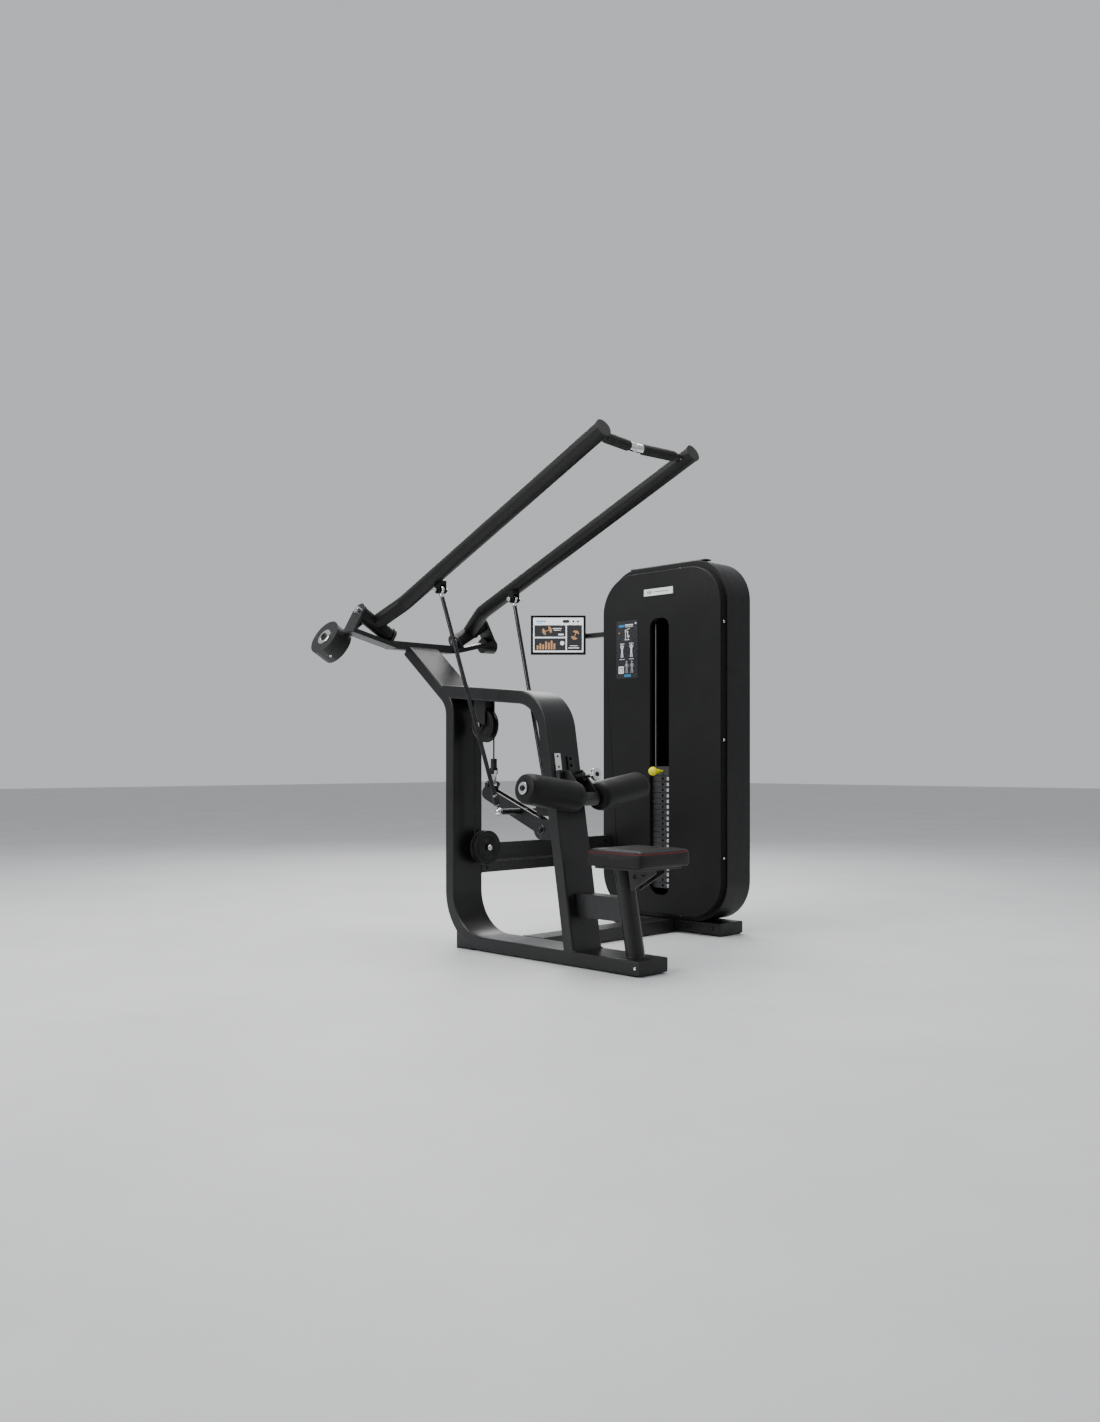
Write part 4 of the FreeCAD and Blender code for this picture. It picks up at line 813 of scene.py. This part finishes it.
FORK_PIN_HALF = 0.026
for side, name in ((-1, "left"), (1, "right")):
    ends = [(hub_point(0, 0, along, side), hub_dir(side) * sense) for along, sense in ((98, 1), (-98, -1))]
    hex_nuts(f"{name}_shaft_nuts", "frame", ends, 26 * MM, 5 * MM)
    fork = Vector((-0.813, 0.190 * side, 1.372))
    fork_ends = [(fork + Y * FORK_PIN_HALF, Y), (fork - Y * FORK_PIN_HALF, -Y)]
    hex_nuts(f"{name}_fork_nuts", f"{name}_arm", fork_ends, 15 * MM, 6 * MM)
    low = lever_ball(side)
    run = (low - fork).normalized()
    hex_nuts(f"{name}_rod_locknuts", f"{name}_rod", [(low - run * 0.056, -run)], 17 * MM, 7 * MM)
    bm = bmesh.new()
    add_rings(bm, frame_of(fork - Y * 0.0078, Y),
              in_mm([(14, 0), (16.6, 0.6), (17.8, 2.4), (17.8, 13.2), (16.6, 15), (14, 15.6)]), 40)
    add_rings(bm, frame_of(fork + run * 0.0165, run), in_mm([(9, 0), (9.4, 2), (9.4, 11), (8.4, 13)]), 28)
    piece(f"{name}_rod_eye", bm, f"{name}_rod", "chrome")

# ---------------------------------------------------------------- pulleys

# centre in metres, axis, radius and half width in millimetres
PULLEYS = {
    "upper_pulley": ((-0.777, 0, 0.864), Y, 67, 15),
    "lower_pulley": ((-0.832, 0.055, 0.385), X, 67, 15),
    "tower_low_pulley": ((-0.832, 0.894, 0.366), X, 45, 12),
    "tower_top_pulley_a": ((-0.796, 0.930, 1.440), Y, 45, 12),
    "tower_top_pulley_b": ((-0.636, 0.930, 1.440), Y, 45, 12),
}
for name, (centre, axis, radius, half) in PULLEYS.items():
    bm = bmesh.new()
    for sense in (-1, 1):
        matrix = frame_of(Vector(centre) + axis * sense * (half - 0.4) * MM, axis * sense)
        profile = [(0.90, 0), (0.90, 1.6), (0.86, 2.2), (0.78, 2.0), (0.75, 0.6)]
        for ridge in (0.69, 0.61, 0.53, 0.45):
            profile += [(ridge + 0.02, 0.6), (ridge + 0.01, 1.5), (ridge - 0.01, 1.5), (ridge - 0.02, 0.6)]
        profile += [(0.38, 0.7), (0.35, 2.6), (0.27, 3.0), (0.26, 1.0)]
        add_rings(bm, matrix, [(radius * share * MM, high * MM) for share, high in profile], 56)
    piece(f"{name}_faces", bm, name, "pulley")
hex_nuts("pulley_nuts", "frame", [((-0.777, -0.030, 0.864), -Y), ((-0.777, 0.030, 0.864), Y),
                                  ((-0.809, 0.055, 0.385), X)], 20 * MM, 6 * MM)
CLEVIS_PIN = Vector((-0.425, 0, 0.475))
clevis_ends = [(CLEVIS_PIN + Y * sense * 0.0385, Y * sense) for sense in (-1, 1)]
hex_nuts("clevis_nuts", "frame", clevis_ends, 24 * MM, 8 * MM, "rod")
bm = bmesh.new()
for sense in (-1, 1):
    washer = frame_of(CLEVIS_PIN + Y * sense * 0.0375, Y * sense)
    add_rings(bm, washer, in_mm([(20, 0), (20, 2.4), (18.5, 3.2)]), 40)
piece("clevis_washers", bm, "frame", "rod")

# ---------------------------------------------------------------- back of the tower and of the screen


def outline_points(wide, high, corner, centre, y, step):
    """Even points along a rounded rectangle that stands in XZ."""
    flat = rounded_rect(wide, high, corner, 12)
    return path_points([(centre.x + u, y, centre.z + v) for u, v in flat], step)


back_low, back_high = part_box("tower_back_panel")
back_mid = (back_low + back_high) / 2
BACK_SCREWS_WIDE, BACK_SCREW_MARGIN, BACK_SCREW_CORNER, BACK_SCREW_SPACING = 0.610, 0.05, 0.145, 0.245
screw_line = outline_points(BACK_SCREWS_WIDE, back_high.z - back_low.z - BACK_SCREW_MARGIN, BACK_SCREW_CORNER,
                            back_mid, back_high.y - 0.0004, BACK_SCREW_SPACING)
back_screws = [(point, Y) for point in screw_line]
bolt_set("back_panel_screws", "frame", back_screws, 5.5 * MM, 3.2 * MM, 5 * MM, "rod")
LOUVRES, LOUVRE_LOW, LOUVRE_PITCH = 9, 0.36, 0.022
bm = bmesh.new()
for row in range(LOUVRES):
    vent = frame_of((back_mid.x, back_high.y - 0.0002, back_mid.z + LOUVRE_LOW + LOUVRE_PITCH * row), Y, X)
    add_plate(bm, vent, [(u * MM, v * MM) for u, v in rounded_rect(180, 8, 3.9, 5)], 1.4 * MM, 0.6 * MM)
piece("back_vent_louvres", bm, "frame", "tower")

# ---------------------------------------------------------------- cable spans


def span(name, low, high, replaced):
    """A straight run of cable between the frame and a body that slides under it, built as one fixed tube."""
    low, high = Vector(low), Vector(high)
    bm = bmesh.new()
    length = (high - low).length
    add_rings(bm, frame_of(low, high - low), [(3 * MM, length * i / 24) for i in range(25)], 16)
    obj = piece(name, bm, None, "cable")
    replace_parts(obj, replaced)
    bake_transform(obj)


span("front_span", (-0.722, 0, 0.734), (-0.722, 0, 0.864), "front_cable")
span("stack_span", (-0.600, 0.930, 0.726), (-0.600, 0.930, 1.440), "stack_cable")

# ---------------------------------------------------------------- screws and bolts

TOWER_X, TOWER_HALF_WIDE = -0.600, 0.3235
TOWER_TOP, TOWER_LOW = 1.535, 0.076
PANEL_SCREW_Y = 0.862
BASE_END_X = 0.064
screws = []
for side in (-1, 1):
    edge = TOWER_X + side * TOWER_HALF_WIDE
    screws += [((edge, PANEL_SCREW_Y, z), X * side) for z in (0.327, 0.811, 1.295)]
for height, direction in ((TOWER_TOP, Z), (TOWER_LOW, -Z)):
    screws += [((x, PANEL_SCREW_Y, height), direction) for x in (-0.751, -0.500)]
screws += [((BASE_END_X, side * 0.075, 0.030), Y * side) for side in (-1, 1)]
screw_set = bolt_set("panel_screws", "frame", screws, 5.5 * MM, 3.5 * MM, 5 * MM)
hexes = [((x, 0.879, 0.030), -Y) for x in (-0.470, -0.350, -0.730, -0.850)]
hexes += [((-0.877, y, z), X) for y in (0.110, 0.800) for z in (0.300, 0.379)]
hex_set = hex_nuts("frame_hex_bolts", "frame", hexes, 15 * MM, 5 * MM, "rod")
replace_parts(screw_set, "frame_bolts")
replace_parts(hex_set, "frame_bolts")

# ---------------------------------------------------------------- printed labels and the screen


def shift(outline, u, v):
    """An outline in millimetres moved by u and v, in metres."""
    return [((x + u) * MM, (y + v) * MM) for x, y in outline]


def bar(u, v, wide, high, radius=0.8):
    return shift(rounded_rect(wide, high, min(radius, wide / 2.01, high / 2.01), 4), u, v)


def disc(u, v, radius, steps=24):
    turns = [2 * math.pi * i / steps for i in range(steps)]
    return shift([(radius * math.cos(a), radius * math.sin(a)) for a in turns], u, v)


def limb(u0, v0, u1, v1, wide):
    """A capsule from one point to another."""
    length = math.hypot(u1 - u0, v1 - v0)
    turn = math.atan2(v1 - v0, u1 - u0)
    flat = rounded_rect(length + wide, wide, wide / 2.01, 5)
    mid_u, mid_v = (u0 + u1) / 2, (v0 + v1) / 2
    return [((mid_u + x * math.cos(turn) - y * math.sin(turn)) * MM,
             (mid_v + x * math.sin(turn) + y * math.cos(turn)) * MM) for x, y in flat]


PRINT_THICK = 0.25


def print_layers(name, matrix, body, layers):
    """Flat prints over a board: each layer is (material, height in millimetres, outlines)."""
    for index, (material, height, outlines) in enumerate(layers):
        bm = bmesh.new()
        for outline in outlines:
            centre_x = sum(p[0] for p in outline) / len(outline)
            centre_y = sum(p[1] for p in outline) / len(outline)
            local = [(x - centre_x, y - centre_y) for x, y in outline]
            place = matrix @ Matrix.Translation((centre_x, centre_y, (height - PRINT_THICK) * MM))
            add_plate(bm, place, local, PRINT_THICK * MM, 0.05 * MM)
        piece(f"{name}_{index}", bm, body, material)


def standing_figure(u, v, high, arms_up=False):
    """A plain pictogram of a figure, made of a disc and capsules."""
    k = high / 60
    reach = 10 if arms_up else -12
    return [disc(u, v + 24 * k, 5 * k), limb(u, v + 13 * k, u, v - 2 * k, 9 * k),
            limb(u - 6 * k, v + 14 * k, u - 10 * k, v + (14 + reach) * k, 3.4 * k),
            limb(u + 6 * k, v + 14 * k, u + 10 * k, v + (14 + reach) * k, 3.4 * k),
            limb(u - 3 * k, v - 6 * k, u - 5 * k, v - 27 * k, 4.4 * k),
            limb(u + 3 * k, v - 6 * k, u + 5 * k, v - 27 * k, 4.4 * k)]


def machine_sketch(u, v, k):
    """A plain pictogram of a frame with a seat and a lever."""
    return [limb(u - 12 * k, v - 22 * k, u + 12 * k, v - 22 * k, 3 * k),
            limb(u - 8 * k, v - 22 * k, u - 8 * k, v + 16 * k, 3.4 * k),
            limb(u - 12 * k, v + 16 * k, u + 14 * k, v + 25 * k, 2.6 * k),
            limb(u + 2 * k, v - 8 * k, u + 12 * k, v - 8 * k, 4 * k),
            limb(u + 7 * k, v - 8 * k, u + 7 * k, v - 22 * k, 2.4 * k), disc(u + 3 * k, v + 10 * k, 4 * k),
            limb(u + 3 * k, v + 3 * k, u + 5 * k, v - 4 * k, 5 * k)]


def dumbbell(u, v, k, turn=0.35):
    """A plain pictogram of a dumbbell, turned about its middle."""
    cos, sin = math.cos(turn), math.sin(turn)
    items = [limb(u - 20 * k * cos, v - 20 * k * sin, u + 20 * k * cos, v + 20 * k * sin, 3 * k)]
    for along, long in ((-16, 9), (-11, 12), (11, 12), (16, 9)):
        mid_u, mid_v = u + along * k * cos, v + along * k * sin
        items.append(limb(mid_u + long * k * sin, mid_v - long * k * cos,
                          mid_u - long * k * sin, mid_v + long * k * cos, 4 * k))
    return items


PANEL_Y = 0.839
placard = frame_of((-0.782, PANEL_Y, 1.212), -Y, X)
print_layers("placard", placard, "frame", [
    ("board", 1.2, [bar(0, 0, 124, 252, 4)]),
    ("white", 1.4, [bar(12, 107, 46, 5), bar(12, 99, 46, 2), disc(50, 112, 4)] + machine_sketch(0, 66, 1.05)
     + standing_figure(-29, -6, 58, True) + standing_figure(25, -6, 58, True)
     + [bar(-29, 26, 26, 2.6), bar(25, 26, 26, 2.6), bar(-29, -42, 30, 2), bar(25, -42, 30, 2),
        bar(-34, -88, 30, 32, 1)]),
    ("blue", 1.5, [bar(-31, 104, 34, 11, 1), bar(3, -114, 40, 11, 1.5)]),
    ("grey", 1.45, standing_figure(-2, -76, 56) + standing_figure(28, -76, 56)),
    ("amber", 1.5, [disc(-46, 74, 3.2), limb(-5, 79, 4, 72, 3)]),
    ("ink", 1.6, [bar(-41 + 7 * (i % 3), -81 - 7 * (i // 3), 4.6, 4.6, 0.4) for i in (0, 1, 2, 3, 5, 6, 8)]),
])
name_plate = frame_of((-0.604, PANEL_Y, 1.448), -Y, X)
print_layers("name_plate", name_plate, "frame", [
    ("ink", 1.2, [bar(0, 0, 167, 35, 2)]),
    ("white", 1.5, [bar(0, 0, 160, 29, 1.5)]),
    ("ink", 1.7, [bar(-58 + 9 * i, 0, 4.5, 13, 1) for i in range(3)]
     + [bar(-20 + 12 * i, 0, 8, 4, 1.9) for i in range(7)]),
])

SCREEN_MID = Vector((-1.227, 0.860, 1.310))
SCREEN_FACE = Vector((1, -1, 0)).normalized()
SCREEN_RIGHT = Vector((1, 1, 0)).normalized()
screen = frame_of(SCREEN_MID, SCREEN_FACE, SCREEN_RIGHT)
print_layers("screen", screen, "frame", [
    ("glass", 0.6, [bar(0, 0, 253, 180, 4)]),
    ("lit_white", 0.8, [bar(0, 0, 233, 160, 1.5)]),
    ("lit_grey", 1.0, [bar(-38.5, 18.5, 145, 54, 1), bar(-38.5, -43.5, 145, 57, 1), bar(75, -13, 70, 118, 1),
                       bar(36, 63, 32, 14, 6.8), disc(70, 63, 5), disc(91, 63, 5)]),
    ("lit_blue", 1.0, [bar(-79, 64, 46, 6, 2.5), bar(-86, 55, 26, 2.5, 1)]),
    ("lit_warm", 1.2, dumbbell(-52, 20, 1.15) + dumbbell(78, 0, 1.1, 1.2)
     + [bar(-96 + 13 * i, -64 + 2.2 * h, 8, 6 + 4.4 * h, 1) for i, h in enumerate((3, 5, 4, 7, 6, 8, 5))]),
    ("lit_white", 1.3, [bar(-5, 30, 40, 3.5), bar(-5, 22, 32, 2.5), bar(12, 2, 26, 7, 3),
                        bar(18, -38, 20, 20, 9.8), bar(72, -60, 50, 4, 1.8), bar(72, -50, 38, 2.5, 1)]),
])

screen_back = frame_of(SCREEN_MID - SCREEN_FACE * 0.0179, -SCREEN_FACE, -SCREEN_RIGHT)
bm = bmesh.new()
for row in range(7):
    for side in (-1, 1):
        vent = screen_back @ Matrix.Translation((side * 0.082, -0.03 + 0.010 * row, 0))
        add_plate(bm, vent, [(u * MM, v * MM) for u, v in rounded_rect(56, 4, 1.9, 4)], 1.1 * MM, 0.4 * MM)
piece("screen_back_ribs", bm, "frame", "plastic")
plate_screws = [(screen_back @ Vector((u, v, 0.006)), -SCREEN_FACE)
                for u in (-0.027, 0.027) for v in (-0.027, 0.027)]
bolt_set("screen_plate_screws", "frame", plate_screws, 4 * MM, 2.6 * MM, 3.4 * MM)


PLATES, PLATE_PITCH, STACK_LOW, PLATE_MIDDLE = 20, 0.024, 0.182, 0.0115
PLATE_STEP_KG, TOP_PLATE_KG = 5, 10
TAB_OFFSET = 0.033


def weight_numbers():
    """A white tab with its number on the front of each weight plate."""
    tabs = bmesh.new()
    digits = bmesh.new()
    for i in range(PLATES):
        z = STACK_LOW + PLATE_PITCH * i + PLATE_MIDDLE
        board = frame_of((TOWER_X + TAB_OFFSET, PANEL_SCREW_Y, z), -Y, X)
        tab = [(x * MM, y * MM) for x, y in rounded_rect(18, 13, 1.5, 4)]
        add_plate(tabs, board, tab, 0.7 * MM, 0.1 * MM)
        text = bpy.data.curves.new("digits", "FONT")
        text.body = str(PLATE_STEP_KG * (PLATES - 1 - i) + TOP_PLATE_KG)
        text.size = 0.0105
        text.extrude = 0.0001
        text.align_x = "CENTER"
        text.align_y = "CENTER"
        holder = bpy.data.objects.new("digits", text)
        scene.collection.objects.link(holder)
        mesh = evaluated_mesh(holder)
        mesh.transform(board @ Matrix.Translation((0, 0, 0.9 * MM)))
        digits.from_mesh(mesh)
        bpy.data.objects.remove(holder)
        bpy.data.meshes.remove(mesh)
        bpy.data.curves.remove(text)
    tab_piece = piece("weight_tabs", tabs, "frame", "white")
    piece("weight_digits", digits, "frame", "ink", smooth=False)
    return tab_piece


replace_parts(weight_numbers(), "tower_labels")

# ---------------------------------------------------------------- welds


def circle_points(centre, radius, z_dir, count=48):
    """Even points round a circle about z_dir."""
    matrix = frame_of(centre, z_dir)
    turns = [2 * math.pi * i / count for i in range(count)]
    return [matrix @ Vector((radius * math.cos(a), radius * math.sin(a), 0)) for a in turns]


def standing_rect(low_x, high_x, y, start_z, end_z):
    """A weld path round the end of a tube that meets a wall at y."""
    return path_points([(low_x, y, start_z), (high_x, y, start_z), (high_x, y, end_z), (low_x, y, end_z)])


weld_bead("seat_post_weld", circle_points((0.000, 0, 0.0555), 0.0335, Z), 2.6 * MM)
weld_bead("mast_foot_weld", path_points([(-0.2745, -0.072, 0.0555), (-0.2180, -0.072, 0.0555),
                                         (-0.2180, 0.072, 0.0555), (-0.2745, 0.072, 0.0555)]), 2.4 * MM)
weld_bead("cross_weld", standing_rect(-0.635, -0.536, 0.0755, 0.0545, 0.008), 2.2 * MM)
weld_bead("cross_tower_weld", standing_rect(-0.635, -0.536, 0.8785, 0.0545, 0.008), 2.2 * MM)
weld_bead("link_weld", standing_rect(-0.923, -0.877, 0.0755, 0.281, 0.398), 2.2 * MM)

# ---------------------------------------------------------------- floor and light

floor_mesh = bpy.data.meshes.new("floor")
floor_bm = bmesh.new()
bmesh.ops.create_grid(floor_bm, x_segments=1, y_segments=1, size=30)
floor_bm.to_mesh(floor_mesh)
floor_bm.free()
floor = bpy.data.objects.new("floor", floor_mesh)
scene.collection.objects.link(floor)
floor_nodes = Nodes("floor", Specular_IOR_Level=0.3)
pale = [(0.3, (0.56, 0.565, 0.575)), (0.7, (0.62, 0.625, 0.63))]
floor_nodes.colour(floor_nodes.ramp(floor_nodes.noise(1.4, 5), pale))
floor_nodes.roughness(floor_nodes.grey_ramp(floor_nodes.noise(5, 4), 0.45, 0.6))
floor.data.materials.append(floor_nodes.material)

world = bpy.data.worlds.new("studio")
scene.world = world
world.use_nodes = True
DIM_TOWARDS = (0.86, -0.5, 0.0)
FULL_SKY, DIM_SKY = 0.78, 0.30
sky = world.node_tree
background = sky.nodes["Background"]
background.inputs["Color"].default_value = (0.74, 0.755, 0.775, 1)
sky_from = sky.nodes.new("ShaderNodeTexCoord")
facing_dim = sky.nodes.new("ShaderNodeVectorMath")
facing_dim.operation = "DOT_PRODUCT"
facing_dim.inputs[1].default_value = DIM_TOWARDS
dimmed = sky.nodes.new("ShaderNodeMapRange")
dimmed.inputs["From Min"].default_value = 0.15
dimmed.inputs["To Min"].default_value = FULL_SKY
dimmed.inputs["To Max"].default_value = DIM_SKY
sky.links.new(sky_from.outputs["Generated"], facing_dim.inputs[0])
sky.links.new(facing_dim.outputs["Value"], dimmed.inputs["Value"])
sky.links.new(dimmed.outputs["Result"], background.inputs["Strength"])


def area_light(name, place, target, size, power):
    """A rectangular soft light at place, turned to target."""
    data = bpy.data.lights.new(name, "AREA")
    data.shape = "RECTANGLE"
    data.size, data.size_y = size
    data.energy = power
    obj = bpy.data.objects.new(name, data)
    scene.collection.objects.link(obj)
    obj.location = place
    obj.rotation_euler = (Vector(target) - Vector(place)).to_track_quat("-Z", "Y").to_euler()


area_light("key", (-1.6, -4.2, 3.6), (-0.6, 0.2, 0.8), (2.6, 2.6), 190)
area_light("fill", (4.0, 0.6, 2.6), (-0.5, 0.4, 0.9), (2.4, 2.4), 25)
area_light("top", (-0.8, 0.4, 4.4), (-0.7, 0.3, 0.5), (3.4, 3.4), 210)
area_light("rim", (-3.6, 2.8, 3.4), (-0.7, 0.2, 0.6), (3.2, 3.2), 125)
